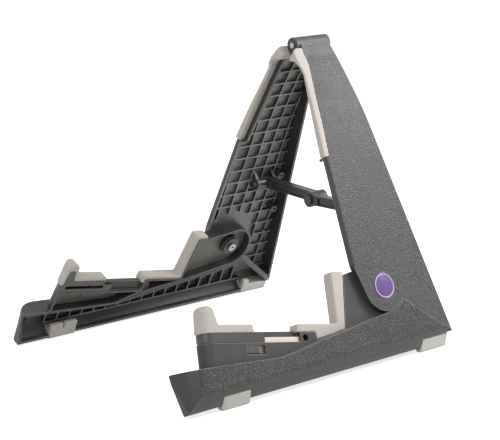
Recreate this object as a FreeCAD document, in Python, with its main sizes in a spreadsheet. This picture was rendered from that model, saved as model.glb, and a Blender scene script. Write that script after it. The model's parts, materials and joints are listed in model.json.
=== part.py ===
"""Folding A-frame guitar stand in moulded plastic, standing open.

Two mirrored halves hang on one hinge pin. Each half is a leg shell with an arm shell
that folds about a pivot near the leg's foot, and a cradle on the arm: a sliding hook in
front and a fixed backrest behind. A two-piece spreader holds the legs apart.

The right half is drawn in the plane where the stand is closed: X is the depth outwards
from the plane where the halves meet, Y runs backwards and Z upwards from the hinge pin.
The finished half is swung out by half the spread angle. Millimetres and degrees.
"""
import FreeCAD
import Part
import Sketcher
import math
import os
from types import SimpleNamespace

Vector = FreeCAD.Vector

SIZES = {
    # whole stand
    "half_spread": 24.5,
    "hinge_height": 258.0,
    "rim_gap": 0.5,
    "shell_depth": 17.0,
    "face_wall": 2.4,
    "side_wall": 2.2,
    "edge_round": 2.0,
    "seat_gap": 0.3,
    # leg outline: reaches and drops from the hinge pin, rises from the arm's base line
    "base_rise": 1.53,
    "heel_reach": 54.3,
    "heel_rise": 6.9,
    "rear_lean": 8.0,
    "front_reach_top": 20.0,
    "front_reach_pad": 33.5,
    "front_reach_low": 38.0,
    "front_rise_low": 82.0,
    "taper_drop": 110.0,
    "neck_drop": 14.0,
    "nest_depth": 11.5,
    "rib_height": 3.1,
    "rib_wall": 1.4,
    "rib_pitch": 13.5,
    "boss_radius": 3.6,
    "boss_bore": 1.5,
    # arm pivot
    "pivot_reach": 10.5,
    "pivot_rise": 59.6,
    "lobe_radius": 22.0,
    "lobe_start": 13.0,
    "lug_radius": 21.0,
    "post_radius": 6.0,
    "post_depth": 4.1,
    "post_collar": 10.0,
    "running_gap": 0.05,
    "washer_radius": 8.5,
    "washer_wall": 1.2,
    "screw_radius": 1.7,
    "screw_head": 3.8,
    "screw_head_height": 2.2,
    "cross_width": 1.1,
    "cross_reach": 2.3,
    "screw_length": 10.0,
    "badge_radius": 12.0,
    "badge_wall": 2.0,
    "badge_seat": 1.5,
    # top hinge
    "knuckle_radius": 7.0,
    "knuckle_front": 19.6,
    "knuckle_split": 3.6,
    "knuckle_rear": 18.7,
    "pin_radius": 2.0,
    "pin_head": 2.6,
    "pin_head_height": 1.2,
    # leg pad
    "pad_wall": 4.0,
    "pad_end_drop": 104.0,
    "pad_top_drop": 8.0,
    "pad_bulge_drop": 30.0,
    "shoulder_reach": 28.5,
    "shoulder_drop": 14.0,
    "shoulder_round": 5.0,
    "arch_round": 7.0,
    "pad_inner_high": 6.0,
    "pad_inner_low": 7.5,
    # arm outline
    "tip_reach": 241.0,
    "tip_rise": 34.0,
    "tip_lean": 5.0,
    "tip_round": 24.0,
    "kink_reach": 137.4,
    "kink_rise": 24.0,
    "heel_tuck": 2.5,
    "skirt_rise": 14.0,
    "skirt_inset": 10.5,
    "skirt_round": 26.0,
    "cell_rise": 11.0,
    "cell_rib_depth": 6.0,
    # feet
    "foot_top_rise": 7.0,
    "foot_block_rise": 12.7,
    "foot_block_depth": 4.7,
    "foot_sole": 6.2,
    "foot_proud": 0.8,
    "foot_slot": 2.0,
    "foot_post": 7.5,
    "front_foot_reach": 203.2,
    "front_foot_length": 28.4,
    "rear_foot_reach": 20.0,
    "rear_foot_length": 31.3,
    # cradle, measured along the sloping rail
    "rail_reach": 206.5,
    "rail_rise": 50.8,
    "rail_lean": 11.0,
    "cradle_width": 11.0,
    "cradle_wall": 1.8,
    "tray_depth": 24.0,
    "floor_height": 15.0,
    "boot_wall": 3.0,
    "boot_skirt": 1.0,
    "seat_start": 94.0,
    "seat_skirt": 7.0,
    "backrest_start": 138.3,
    "backrest_height": 59.5,
    "backrest_depth": 9.7,
    "backrest_flare": 4.0,
    "rail_start": 38.0,
    "rail_inner": 2.7,
    "rail_width": 4.0,
    "rail_height": 9.4,
    "glide_gap": 0.4,
    "glide_width": 1.9,
    "glide_height": 4.5,
    "side_hole": 3.0,
    "side_hole_reach": 5.5,
    "side_hole_height": 3.3,
    "side_hole_depth": 6.5,
    # hook carriage
    "carriage_length": 60.0,
    "carriage_lift": 0.3,
    "carriage_wall": 1.6,
    "carriage_plate": 2.2,
    "carriage_round": 9.0,
    "strip_length": 50.0,
    "strip_skirt": 7.0,
    "hook_height": 30.0,
    "hook_length": 16.0,
    "hook_round": 6.0,
    "hook_overhang": 1.6,
    "hook_lean": 2.5,
    # lock button
    "button_start": 41.8,
    "button_length": 14.2,
    "button_drop": 2.6,
    "button_height": 6.0,
    "button_travel": 3.4,
    "button_gap": 0.3,
    "button_room": 1.2,
    "button_flange": 1.5,
    "button_proud": 0.4,
    "ridge_pitch": 1.8,
    "ridge_width": 0.9,
    "ridge_height": 0.5,
    # folding spreader
    "brace_drop": 155.0,
    "brace_depth": 6.5,
    "brace_sag": 2.5,
    "brace_front": 1.0,
    "brace_width": 17.3,
    "brace_height": 9.0,
    "brace_knuckle": 7.0,
    "brace_barrel": 4.8,
    "brace_recess": 1.6,
    "brace_pin": 2.0,
    "brace_bolt": 3.0,
    "brace_bolt_head": 4.6,
    "bolt_head_height": 2.0,
    "ear_wall": 2.6,
    "ear_radius": 5.5,
    "ear_gusset": 6.0,
    "slice_gap": 0.3,
}


class Size:
    """A number together with the sheet formula that it comes from."""

    def __init__(self, value, formula):
        self.value = float(value)
        self.formula = formula

    def __add__(self, other):
        other = as_size(other)
        return Size(self.value + other.value, f"({self.formula} + {other.formula})")

    def __sub__(self, other):
        other = as_size(other)
        return Size(self.value - other.value, f"({self.formula} - {other.formula})")

    def __mul__(self, other):
        other = as_size(other)
        return Size(self.value * other.value, f"({self.formula} * {other.formula})")

    def __truediv__(self, other):
        other = as_size(other)
        return Size(self.value / other.value, f"({self.formula} / {other.formula})")

    def __neg__(self):
        return Size(-self.value, f"(0 - {self.formula})")

    def __radd__(self, other):
        return as_size(other) + self

    def __rsub__(self, other):
        return as_size(other) - self

    def __rmul__(self, other):
        return as_size(other) * self


def as_size(number):
    """A plain number as a Size."""
    if isinstance(number, Size):
        return number
    return Size(number, f"({number!r})")


def cosine(angle):
    return Size(math.cos(math.radians(angle.value)), f"cos({angle.formula} * 1 deg)")


def sine(angle):
    return Size(math.sin(math.radians(angle.value)), f"sin({angle.formula} * 1 deg)")


def tangent(angle):
    return Size(math.tan(math.radians(angle.value)), f"tan({angle.formula} * 1 deg)")


def root(size):
    return Size(math.sqrt(size.value), f"sqrt({size.formula})")


def whole(size):
    """The size rounded down, for counting repeats."""
    return Size(math.floor(size.value), f"floor({size.formula})")


doc = FreeCAD.newDocument("guitar_stand")


def make_sheet():
    """Write the driving dimensions to the sheet and return them by name."""
    sheet = doc.addObject("Spreadsheet::Sheet", "Sizes")
    named = {}
    for row, (name, value) in enumerate(SIZES.items(), start=1):
        sheet.set(f"A{row}", name.replace("_", " "))
        sheet.set(f"B{row}", str(value))
        sheet.setAlias(f"B{row}", name)
        named[name] = Size(value, f"Sizes.{name}")
    doc.recompute()
    return SimpleNamespace(**named)


d = make_sheet()

LEFT_TURN = 1
RIGHT_TURN = -1
CLEAR = as_size(3.0)

outer = d.rim_gap + d.shell_depth
floor = outer - d.face_wall
lip = d.rim_gap + d.nest_depth
cradle_side = d.rim_gap + d.cradle_width
ground_drop = d.hinge_height / cosine(d.half_spread)
base_drop = ground_drop - d.base_rise
heel_drop = base_drop - d.heel_rise
front_drop_low = base_drop - d.front_rise_low
pivot_drop = base_drop - d.pivot_rise
tip_drop = base_drop - d.tip_rise
kink_drop = base_drop - d.kink_rise
cell_drop = base_drop - d.cell_rise
foot_top_drop = base_drop - d.foot_top_rise
foot_block_drop = base_drop - d.foot_block_rise
rail_drop = base_drop - d.rail_rise
y_shift = (d.tip_reach - d.heel_reach) / 2.0


# Frames: the half's own frame, the sloping rail's frame and the stand's frame

def side_formula():
    """Placement of the right half, swung out about the hinge pin."""
    return (f"placement(vector(0; {y_shift.formula}; {d.hinge_height.formula});"
            f" rotation(vector(0; -1; 0); {d.half_spread.formula} * 1 deg))")


def rail_formula():
    """Placement of the sloping rail: Y runs down it to the rear, Z stands square on it."""
    start = f"vector(0; {(-d.rail_reach).formula}; {(-rail_drop).formula})"
    slope = f"rotation(vector(-1; 0; 0); {d.rail_lean.formula} * 1 deg)"
    return f"{side_formula()} * placement({start}; {slope})"


def stand_formula():
    """Placement of pieces drawn upright in the middle of the stand."""
    return (f"placement(vector(0; {y_shift.formula}; 0);"
            f" rotation(vector(0; 0; 1); 0 deg))")


SIDE = side_formula()
RAIL = rail_formula()
STAND = stand_formula()


def new_body(name, frame):
    body = doc.addObject("PartDesign::Body", name)
    body.Label = name
    body.setExpression("Placement", frame)
    return body


# Sketches: outlines of lines and arcs, each corner tied to the sheet

def circle(across, up, radius):
    return {"centre": (as_size(across), as_size(up)), "radius": radius}


def arc_between(start, end, radius, turn):
    """Arc of less than half a circle from start to end, turning left or right."""
    chord = end - start
    middle = (start + end) * 0.5
    left = Vector(-chord.y, chord.x, 0).normalize()
    height = math.sqrt(max(radius * radius - chord.Length ** 2 / 4.0, 0.0))
    centre = middle + left * (height * turn)
    first, last = (start, end) if turn == LEFT_TURN else (end, start)
    angles = [math.atan2(p.y - centre.y, p.x - centre.x) for p in (first, last)]
    return Part.ArcOfCircle(Part.Circle(centre, Vector(0, 0, 1), radius), *angles)


def bind(sketch, kind, name, size, *where):
    index = sketch.addConstraint(Sketcher.Constraint(kind, *where, size.value))
    sketch.renameConstraint(index, name)
    sketch.setExpression(f"Constraints.{name}", size.formula)


def draw_circle(sketch, outline):
    across, up = outline["centre"]
    centre = Vector(across.value, up.value, 0)
    sketch.addGeometry(Part.Circle(centre, Vector(0, 0, 1), outline["radius"].value))
    bind(sketch, "DistanceX", "across", across, -1, 1, 0, 3)
    bind(sketch, "DistanceY", "up", up, -1, 1, 0, 3)
    bind(sketch, "Radius", "radius", outline["radius"], 0)


def draw_corners(sketch, corners):
    """Draw a closed outline. A corner with a radius and a turn starts an arc."""
    points = [Vector(as_size(c[0]).value, as_size(c[1]).value, 0) for c in corners]
    ends = []
    for index, corner in enumerate(corners):
        start = points[index]
        end = points[(index + 1) % len(points)]
        if len(corner) == 2:
            sketch.addGeometry(Part.LineSegment(start, end))
            ends.append((1, 2))
        else:
            sketch.addGeometry(arc_between(start, end, corner[2].value, corner[3]))
            ends.append((1, 2) if corner[3] == LEFT_TURN else (2, 1))
    for index in range(len(corners)):
        after = (index + 1) % len(corners)
        sketch.addConstraint(
            Sketcher.Constraint("Coincident", index, ends[index][1], after, ends[after][0]))
    for index, corner in enumerate(corners):
        bind(sketch, "DistanceX", f"across{index}", as_size(corner[0]), -1, 1, index, ends[index][0])
        bind(sketch, "DistanceY", f"up{index}", as_size(corner[1]), -1, 1, index, ends[index][0])
        if len(corner) > 2:
            bind(sketch, "Radius", f"round{index}", corner[2], index)


def make_sketch(body, name, plane, level, outlines):
    sketch = body.newObject("Sketcher::SketchObject", name)
    support = [f for f in body.Origin.OriginFeatures if f.Role == plane][0]
    sketch.AttachmentSupport = [(support, "")]
    sketch.MapMode = "FlatFace"
    sketch.setExpression("AttachmentOffset.Base.z", as_size(level).formula)
    if isinstance(outlines, dict):
        draw_circle(sketch, outlines)
    else:
        draw_corners(sketch, outlines)
    return sketch


PLANES = {"side": "YZ_Plane", "front": "XZ_Plane", "top": "XY_Plane"}


def span_levels(view, low, high):
    """Levels along the sketch's own normal, which points forwards in the front view."""
    low, high = as_size(low), as_size(high)
    return (-high, -low) if view == "front" else (low, high)


def pad(body, name, view, outline, low, high):
    """Solid between two levels: X for the side view, Y for the front, Z for the top."""
    start, stop = span_levels(view, low, high)
    feature = body.newObject("PartDesign::Pad", name)
    feature.Profile = make_sketch(body, name + "_outline", PLANES[view], start, outline)
    feature.setExpression("Length", (stop - start).formula)
    body.Tip = feature
    return feature


def pocket(body, name, view, outline, low, high):
    """Cut between two levels, along the same axes as pad."""
    start, stop = span_levels(view, low, high)
    feature = body.newObject("PartDesign::Pocket", name)
    feature.Profile = make_sketch(body, name + "_outline", PLANES[view], stop, outline)
    feature.setExpression("Length", (stop - start).formula)
    body.Tip = feature
    return feature


def repeat(body, name, axis, pitch, count):
    """Repeat the body's last feature along one of the body's own axes."""
    feature = body.newObject("PartDesign::LinearPattern", name)
    feature.Originals = [body.Tip]
    direction = [f for f in body.Origin.OriginFeatures if f.Role == axis][0]
    feature.Direction = (direction, [""])
    feature.setExpression("Length", (pitch * (count - 1.0)).formula)
    feature.setExpression("Occurrences", count.formula)
    body.Tip = feature
    return feature


def solid(name, frame, view, outline, low, high):
    """A body of one pad."""
    body = new_body(name, frame)
    pad(body, name + "_pad", view, outline, low, high)
    return body


def round_edges(body, name, radius, chosen):
    """Fillet the edges of the body's last feature that the test chooses."""
    doc.recompute()
    base = body.Tip
    names = [f"Edge{i}" for i, e in enumerate(base.Shape.Edges, start=1) if chosen(e)]
    feature = body.newObject("PartDesign::Fillet", name)
    feature.Base = (base, names)
    feature.setExpression("Radius", radius.formula)
    body.Tip = feature


def fuse(name, *pieces):
    result = doc.addObject("Part::MultiFuse", name)
    result.Shapes = list(pieces)
    result.Refine = False
    result.Label = name
    return result


def cut(name, base, *tools):
    """Base less each tool in turn."""
    for index, tool in enumerate(tools):
        last = index == len(tools) - 1
        result = doc.addObject("Part::Cut", name if last else f"{name}_less_{tool.Name}")
        result.Base = base
        result.Tool = tool
        result.Refine = False
        base = result
    base.Label = name
    return base


def common(name, first, second):
    result = doc.addObject("Part::Common", name)
    result.Base = first
    result.Tool = second
    return result


def mirror(name, source):
    """The same piece on the left half."""
    result = doc.addObject("Part::Mirroring", name)
    result.Source = source
    result.Normal = Vector(1, 0, 0)
    result.Base = Vector(0, 0, 0)
    result.Label = name
    return result


# Shared lines of leg and arm

pivot = (-d.pivot_reach, -pivot_drop)
mitre_run = d.heel_reach + d.pivot_reach
mitre_fall = heel_drop - pivot_drop
mitre_span = root(mitre_run * mitre_run + mitre_fall * mitre_fall)
mitre_cos = mitre_run / mitre_span
mitre_sin = mitre_fall / mitre_span


def on_mitre(along, above):
    """Point at a distance along the seam from pivot to heel, and above it."""
    across = pivot[0] + along * mitre_cos + above * mitre_sin
    up = pivot[1] - along * mitre_sin + above * mitre_cos
    return (across, up)


def mitre_on_circle(radius, above):
    """Point at a height above the seam, on a circle about the pivot."""
    return on_mitre(root(radius * radius - above * above), above)


def from_pivot(radius, angle):
    return (pivot[0] + radius * cosine(angle), pivot[1] + radius * sine(angle))


def rear_edge(drop):
    return d.heel_reach - (heel_drop - drop) * tangent(d.rear_lean)


def front_edge(drop):
    """Front of the leg pad, from the hinge down to the pad's end."""
    return -(d.front_reach_top + (d.front_reach_pad - d.front_reach_top) * drop / d.pad_end_drop)


neck = d.knuckle_radius
taper_step = outer - neck
taper_round = (d.taper_drop * d.taper_drop + taper_step * taper_step) / (taper_step * 2.0)


def beyond_taper(inset):
    """Front view: what lies outside the leg's outer face where it curves in to the hinge."""
    return [(outer - inset, -d.taper_drop, taper_round, LEFT_TURN),
            (neck - inset, as_size(0)),
            (neck - inset, d.knuckle_radius),
            (outer + CLEAR, d.knuckle_radius),
            (outer + CLEAR, -d.taper_drop)]


def within_taper(inset):
    """Front view: what lies inside the outer face by more than the inset."""
    low = -(base_drop + CLEAR)
    return [(-CLEAR, low),
            (outer - inset, low),
            (outer - inset, -d.taper_drop, taper_round, LEFT_TURN),
            (neck - inset, as_size(0)),
            (neck - inset, d.knuckle_radius),
            (-CLEAR, d.knuckle_radius)]


def under_arch():
    """Front view: the opening inside the leg pads, with its round shoulder at the top."""
    low = -(d.pad_end_drop + d.side_wall)
    return [(-CLEAR, low),
            (d.pad_inner_low, low),
            (d.pad_inner_high, -(d.shoulder_drop + d.arch_round), d.arch_round, LEFT_TURN),
            (d.pad_inner_high - d.arch_round, -d.shoulder_drop),
            (-CLEAR, -d.shoulder_drop)]


front_limit = -(d.front_reach_low + CLEAR * 3.0)
rear_limit = d.heel_reach + CLEAR


# Leg

def leg_blank():
    body = new_body("leg_blank", SIDE)
    lobe_start = from_pivot(d.lobe_radius, d.lobe_start + 180.0)
    outline = [on_mitre(mitre_span, as_size(0)),
               (rear_edge(as_size(0)), as_size(0)),
               (front_edge(as_size(0)) + d.pad_wall, as_size(0)),
               (front_edge(d.pad_end_drop) + d.pad_wall, -d.pad_end_drop),
               (-d.front_reach_pad, -d.pad_end_drop),
               (-d.front_reach_low, -front_drop_low),
               (*lobe_start, d.lobe_radius, LEFT_TURN),
               on_mitre(d.lobe_radius, as_size(0))]
    pad(body, "leg_blank_pad", "side", outline, d.rim_gap, outer)

    def rear_or_front(edge):
        middle = edge.valueAt((edge.FirstParameter + edge.LastParameter) / 2.0)
        outside = min(v.X for v in edge.Vertexes) > outer.value - d.rim_gap.value
        tall = edge.BoundBox.ZLength > d.lobe_radius.value * 2.0
        return outside and tall and (middle.y > 0 or middle.z < -d.pad_end_drop.value)

    round_edges(body, "leg_edge_round", d.edge_round, rear_or_front)
    pocket(body, "leg_taper", "front", beyond_taper(as_size(0)), front_limit, rear_limit)
    return body


def leg_cavity(name):
    wall = d.side_wall
    inner = d.lobe_radius - wall
    heel_corner = heel_drop - wall * 3.5
    body = new_body(name, SIDE)
    outline = [on_mitre(mitre_span - wall * 3.4, wall),
               (rear_edge(heel_corner) - wall, -heel_corner),
               (rear_edge(d.neck_drop) - wall, -d.neck_drop),
               (front_edge(d.neck_drop) + d.pad_wall + wall, -d.neck_drop),
               (front_edge(d.pad_end_drop) + d.pad_wall + wall, -d.pad_end_drop),
               (-d.front_reach_pad + wall, -(d.pad_end_drop + wall)),
               (-d.front_reach_low + wall, -front_drop_low),
               (*from_pivot(inner, d.lobe_start + 180.0), inner, LEFT_TURN),
               mitre_on_circle(inner, wall)]
    pad(body, name + "_pad", "side", outline, d.rim_gap - CLEAR, floor)
    pocket(body, name + "_taper", "front", beyond_taper(d.face_wall), front_limit, rear_limit)
    return body


def leg_nest():
    """Way in for the folding arm: the front and the lobe keep only a low lip."""
    wall = d.side_wall
    top = -(d.pad_end_drop + wall)
    seam = on_mitre(d.lobe_radius + wall * 2.0, as_size(0))
    body = new_body("leg_nest", SIDE)
    outline = [(front_limit, top),
               (-d.pivot_reach, top),
               pivot,
               seam,
               (seam[0], -heel_drop),
               (front_limit, -heel_drop)]
    pad(body, "leg_nest_front", "side", outline, d.rim_gap - CLEAR, lip)
    pad(body, "leg_nest_lobe", "side", circle(*pivot, d.lobe_radius - d.seat_gap), d.rim_gap - CLEAR, lip)
    return body


def rib_row(name, outline, axis, pitch, count):
    """A body of equal ribs side by side."""
    body = solid(name, SIDE, "side", outline, d.rim_gap, floor)
    repeat(body, name + "_row", axis, pitch, count)
    return body


def leg_ribs():
    """Grid of low ribs on the inside of the face, clear of the arm's pivot."""
    half = d.rib_wall / 2.0
    front = -d.front_reach_low
    top = -d.neck_drop
    low = -heel_drop
    first = front + d.rib_pitch / 2.0
    column = [(first - half, low), (first + half, low), (first + half, top), (first - half, top)]
    bottom = low + d.rib_pitch
    row = [(front, bottom - half), (d.heel_reach, bottom - half),
           (d.heel_reach, bottom + half), (front, bottom + half)]
    columns = rib_row("leg_rib_columns", column, "Y_Axis", d.rib_pitch,
                      whole((d.heel_reach - front) / d.rib_pitch))
    rows = rib_row("leg_rib_rows", row, "Z_Axis", d.rib_pitch, whole((top - low) / d.rib_pitch) - 1.0)
    room = leg_cavity("leg_rib_room")
    inset = d.face_wall + d.rib_height
    pocket(room, "rib_tops", "front", within_taper(inset), front_limit, rear_limit)
    pocket(room, "rib_clearing", "side", circle(*pivot, d.lobe_radius * 1.5), d.rim_gap - CLEAR, outer)
    return common("leg_ribs", fuse("leg_rib_grid", columns, rows), room)


def leg_fittings():
    """Pivot post, screw bosses and the ears that hold the spreader."""
    base = floor + d.face_wall / 2.0
    post = new_body("leg_post", SIDE)
    pad(post, "post_collar_pad", "side", circle(*pivot, d.post_collar), lip, base)
    pad(post, "post_pad", "side", circle(*pivot, d.post_radius), d.rim_gap + d.post_depth, base)
    pocket(post, "post_bore", "side", circle(*pivot, d.screw_radius), as_size(0), floor)
    pieces = [post]
    wall_reach = d.side_wall * 4.0
    for index, drop in enumerate((d.brace_drop - d.ear_radius, d.brace_drop + d.rib_pitch * 2.5), start=1):
        centre = (rear_edge(drop) - wall_reach, -drop)
        boss = solid(f"leg_boss_{index}", SIDE, "side", circle(*centre, d.boss_radius),
                     d.nest_depth / 2.0, base)
        pocket(boss, f"leg_boss_bore_{index}", "side", circle(*centre, d.boss_bore), as_size(0), floor)
        pieces.append(boss)
    low = -(d.brace_drop + d.ear_radius)
    high = -(d.brace_drop - d.ear_radius)
    tip = d.brace_depth - d.ear_radius + d.rim_gap
    centre = d.brace_depth + d.rim_gap
    ear = [(base, low),
           (centre, low, d.ear_radius, RIGHT_TURN),
           (tip, -d.brace_drop, d.ear_radius, RIGHT_TURN),
           (centre, high),
           (base, high + d.ear_gusset)]
    fronts = (d.brace_front - d.slice_gap - d.ear_wall, d.brace_front + d.brace_width + d.slice_gap)
    for index, front in enumerate(fronts, start=1):
        plate = solid(f"leg_ear_{index}", SIDE, "front", ear, front, front + d.ear_wall)
        hole = circle(centre, -d.brace_drop, d.brace_pin)
        pocket(plate, f"leg_ear_hole_{index}", "front", hole, front, front + d.ear_wall)
        pieces.append(plate)
    return pieces


def knuckle_span(right):
    gap = d.seat_gap / 2.0
    if right:
        return (-d.knuckle_split + gap, d.knuckle_rear)
    return (-d.knuckle_front, -d.knuckle_split - gap)


def knuckle(name, right):
    middle = circle(0, d.hinge_height, d.knuckle_radius)
    return solid(name, STAND, "front", middle, *knuckle_span(right))


def knuckle_room(name, right):
    """Room for the other leg's knuckle."""
    low, high = knuckle_span(not right)
    room = circle(0, d.hinge_height, d.knuckle_radius + d.seat_gap)
    ends = (low - CLEAR, high + d.seat_gap) if right else (low - d.seat_gap, high + CLEAR)
    return solid(name, STAND, "front", room, *ends)


def make_legs():
    arch = solid("leg_arch", SIDE, "front", under_arch(), front_limit,
                 front_edge(as_size(0)) + d.pad_wall + d.side_wall * 2.0)
    badge_seat = solid("badge_seat", SIDE, "side", circle(*pivot, d.badge_radius),
                       outer - d.badge_seat, outer + CLEAR)
    shell = cut("leg_shell", leg_blank(), leg_cavity("leg_cavity"), leg_nest(), arch)
    half = cut("leg_half", fuse("leg_filled", shell, leg_ribs(), *leg_fittings()), badge_seat)
    halves = {"right": half, "left": mirror("leg_half_left", half)}
    legs = {}
    for side, shape in halves.items():
        right = side == "right"
        bore = d.pin_radius if right else d.pin_radius + d.running_gap
        hole = solid(f"{side}_pin_hole", STAND, "front", circle(0, d.hinge_height, bore),
                     front_limit, rear_limit)
        room = knuckle_room(f"{side}_knuckle_room", right)
        barrel = knuckle(f"{side}_knuckle", right)
        legs[side] = cut(f"{side}_leg", fuse(f"{side}_leg_knuckled", cut(f"{side}_leg_cleared", shape, room),
                                             barrel), hole)
    return legs


def make_leg_pad():
    body = new_body("right_leg_pad", SIDE)
    round_size = d.shoulder_round
    outline = [(front_edge(d.pad_end_drop) + d.pad_wall, -d.pad_end_drop),
               (front_edge(d.pad_top_drop) + d.pad_wall, -d.pad_top_drop),
               (-d.shoulder_reach + round_size, -d.pad_top_drop, round_size, LEFT_TURN),
               (-d.shoulder_reach, -(d.pad_top_drop + round_size)),
               (-d.shoulder_reach, -(d.shoulder_drop + round_size)),
               (front_edge(d.pad_bulge_drop), -d.pad_bulge_drop),
               (-d.front_reach_pad, -d.pad_end_drop)]
    pad(body, "leg_pad_strip", "side", outline, d.rim_gap, outer)
    pocket(body, "leg_pad_taper", "front", beyond_taper(as_size(0)), front_limit, rear_limit)
    pocket(body, "leg_pad_arch", "front", under_arch(), front_limit, rear_limit)
    return body


# Arm

def ledge(across):
    """Top of the arm's outer panel between tip and kink."""
    slope = (kink_drop - tip_drop) / (d.tip_reach - d.kink_reach)
    return -tip_drop - (across + d.tip_reach) * slope


def arm_outline(inset):
    """Side view of the arm's outer panel, drawn in by the inset."""
    gap = d.seat_gap + inset
    lobe = d.lobe_radius + gap
    tip_back = inset * 1.2
    return [(-d.tip_reach + d.tip_lean + tip_back, -base_drop + inset),
            (d.heel_reach - d.heel_tuck - inset * 2.0, -base_drop + inset),
            on_mitre(mitre_span - inset * 2.2, -gap),
            (*mitre_on_circle(lobe, -gap), lobe, RIGHT_TURN),
            (pivot[0], pivot[1] - lobe),
            (-d.kink_reach, -kink_drop - inset),
            (-d.tip_reach + tip_back, -tip_drop - inset)]


def beyond_skirt(inset):
    """Front view: what lies outside the arm's lower band, which curves in under it."""
    crease = -(base_drop - d.skirt_rise) + inset * 0.3
    low = -base_drop + inset * 0.9
    return [(outer - inset, crease, d.skirt_round, RIGHT_TURN),
            (outer - d.skirt_inset - inset * 0.8, low),
            (outer - d.skirt_inset - inset * 0.8, -(base_drop + CLEAR)),
            (outer + CLEAR, -(base_drop + CLEAR)),
            (outer + CLEAR, crease)]


def beyond_corner(side, front, radius):
    """Top view: what lies outside a round corner between the front and the outer side."""
    return [(side, front + radius, radius, RIGHT_TURN),
            (side - radius, front),
            (side - radius, front - CLEAR * 2.0),
            (side + CLEAR * 2.0, front - CLEAR * 2.0),
            (side + CLEAR * 2.0, front + radius)]


def arm_form(name, inset, low, high):
    """The arm's outer form, or its hollow when drawn in by a wall."""
    body = new_body(name, SIDE)
    pad(body, name + "_pad", "side", arm_outline(inset), low, high)
    face = d.face_wall if inset.value else as_size(0)
    pocket(body, name + "_skirt", "front", beyond_skirt(face), -(d.tip_reach + CLEAR), rear_limit)
    corner = beyond_corner(outer - face, -d.tip_reach + face, d.tip_round - face)
    pocket(body, name + "_tip", "top", corner, -(base_drop + CLEAR), as_size(0))
    return body


def on_rail(along, above):
    """Point in the half's side view, at a place along the rail and above it."""
    lean = d.rail_lean
    across = -d.rail_reach + along * cosine(lean) + above * sine(lean)
    up = -rail_drop - along * sine(lean) + above * cosine(lean)
    return (across, up)


core_start = d.seat_start + d.boot_wall
core_height = d.floor_height - d.boot_wall
back_start = d.backrest_start + d.boot_wall
back_height = d.backrest_height - d.boot_wall
back_end = d.backrest_start + d.backrest_depth
back_top = back_end + d.backrest_flare


def arm_tower():
    """Tray under the carriage, seat, backrest and the lug round the pivot, in one wall."""
    half_wall = d.side_wall / 2.0
    ring = d.lobe_radius + d.seat_gap + half_wall
    outline = [on_rail(as_size(0), -d.tray_depth),
               (-d.kink_reach, -kink_drop - half_wall),
               (pivot[0], pivot[1] - ring, ring, LEFT_TURN),
               mitre_on_circle(ring, -d.seat_gap),
               (*mitre_on_circle(d.lug_radius, -d.seat_gap), d.lug_radius, LEFT_TURN),
               (pivot[0], pivot[1] + d.lug_radius),
               on_rail(back_top, back_height),
               on_rail(back_start, back_height),
               on_rail(back_start, core_height),
               on_rail(core_start, core_height),
               on_rail(core_start, as_size(0)),
               on_rail(as_size(0), as_size(0))]
    body = new_body("arm_tower", SIDE)
    pad(body, "arm_tower_pad", "side", outline, d.rim_gap, cradle_side)

    def front_corner(edge):
        ends = sorted(v.Y for v in edge.Vertexes)
        outside = min(v.X for v in edge.Vertexes) > cradle_side.value - 0.01
        foremost = ends[-1] < -d.rail_reach.value + 0.01
        return outside and foremost

    round_edges(body, "arm_tray_round", d.carriage_round, front_corner)
    return body


def arm_tower_hollow():
    """Hollow of the tray and the tower, open towards the other half."""
    wall = d.cradle_wall
    ring = d.lug_radius - wall
    front = -d.rail_reach - wall
    floor_level = cradle_side - wall
    tray = [(front, ledge(front)),
            (-d.kink_reach, -kink_drop),
            on_rail(core_start - wall, -wall),
            on_rail(wall, -wall)]
    step = on_rail(core_start + wall, as_size(0))
    corner = on_rail(back_start, core_height - wall)
    seat = [(step[0], step[1] - wall),
            corner,
            on_rail(core_start + wall, core_height - wall)]
    tower = [on_rail(back_start + wall, core_height - wall),
             (pivot[0], pivot[1] - ring, ring, LEFT_TURN),
             (pivot[0] + ring, pivot[1], ring, LEFT_TURN),
             (pivot[0], pivot[1] + ring),
             on_rail(back_top, back_height - wall),
             on_rail(back_start + wall, back_height - wall)]
    body = new_body("arm_tower_hollow", SIDE)
    pad(body, "tower_hollow", "side", tower, d.rim_gap - CLEAR, floor_level)
    pad(body, "seat_hollow", "side", seat, d.rim_gap - CLEAR, floor_level)
    tray_body = solid("arm_tray_hollow", SIDE, "side", tray, d.rim_gap - CLEAR, floor_level)

    def front_corner(edge):
        outside = min(v.X for v in edge.Vertexes) > floor_level.value - 0.01
        return outside and max(v.Y for v in edge.Vertexes) < -d.rail_reach.value + wall.value

    round_edges(tray_body, "tray_hollow_round", d.carriage_round - wall, front_corner)
    return [body, tray_body]


def arm_ribs():
    """Row of cells along the arm, between a long rib and the top wall."""
    half = d.rib_wall / 2.0
    start = -d.rail_reach
    stop = d.rear_foot_reach
    base = -cell_drop
    long_rib = [(start, base - half), (stop, base - half), (stop, base + half), (start, base + half)]
    cross = [(start - half, base), (start + half, base),
             (start + half, -pivot_drop), (start - half, -pivot_drop)]
    spine = solid("arm_long_rib", SIDE, "side", long_rib, d.rim_gap, floor)
    cells = rib_row("arm_cell_ribs", cross, "Y_Axis", d.rib_pitch, whole((stop - start) / d.rib_pitch) + 1.0)
    room = arm_form("arm_rib_room", d.side_wall, floor - d.cell_rib_depth, floor)
    return common("arm_ribs", fuse("arm_rib_grid", spine, cells), room)


def foot_span(which):
    if which == "front":
        return (-d.front_foot_reach, -d.front_foot_reach + d.front_foot_length)
    return (d.rear_foot_reach, d.rear_foot_reach + d.rear_foot_length)


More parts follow.
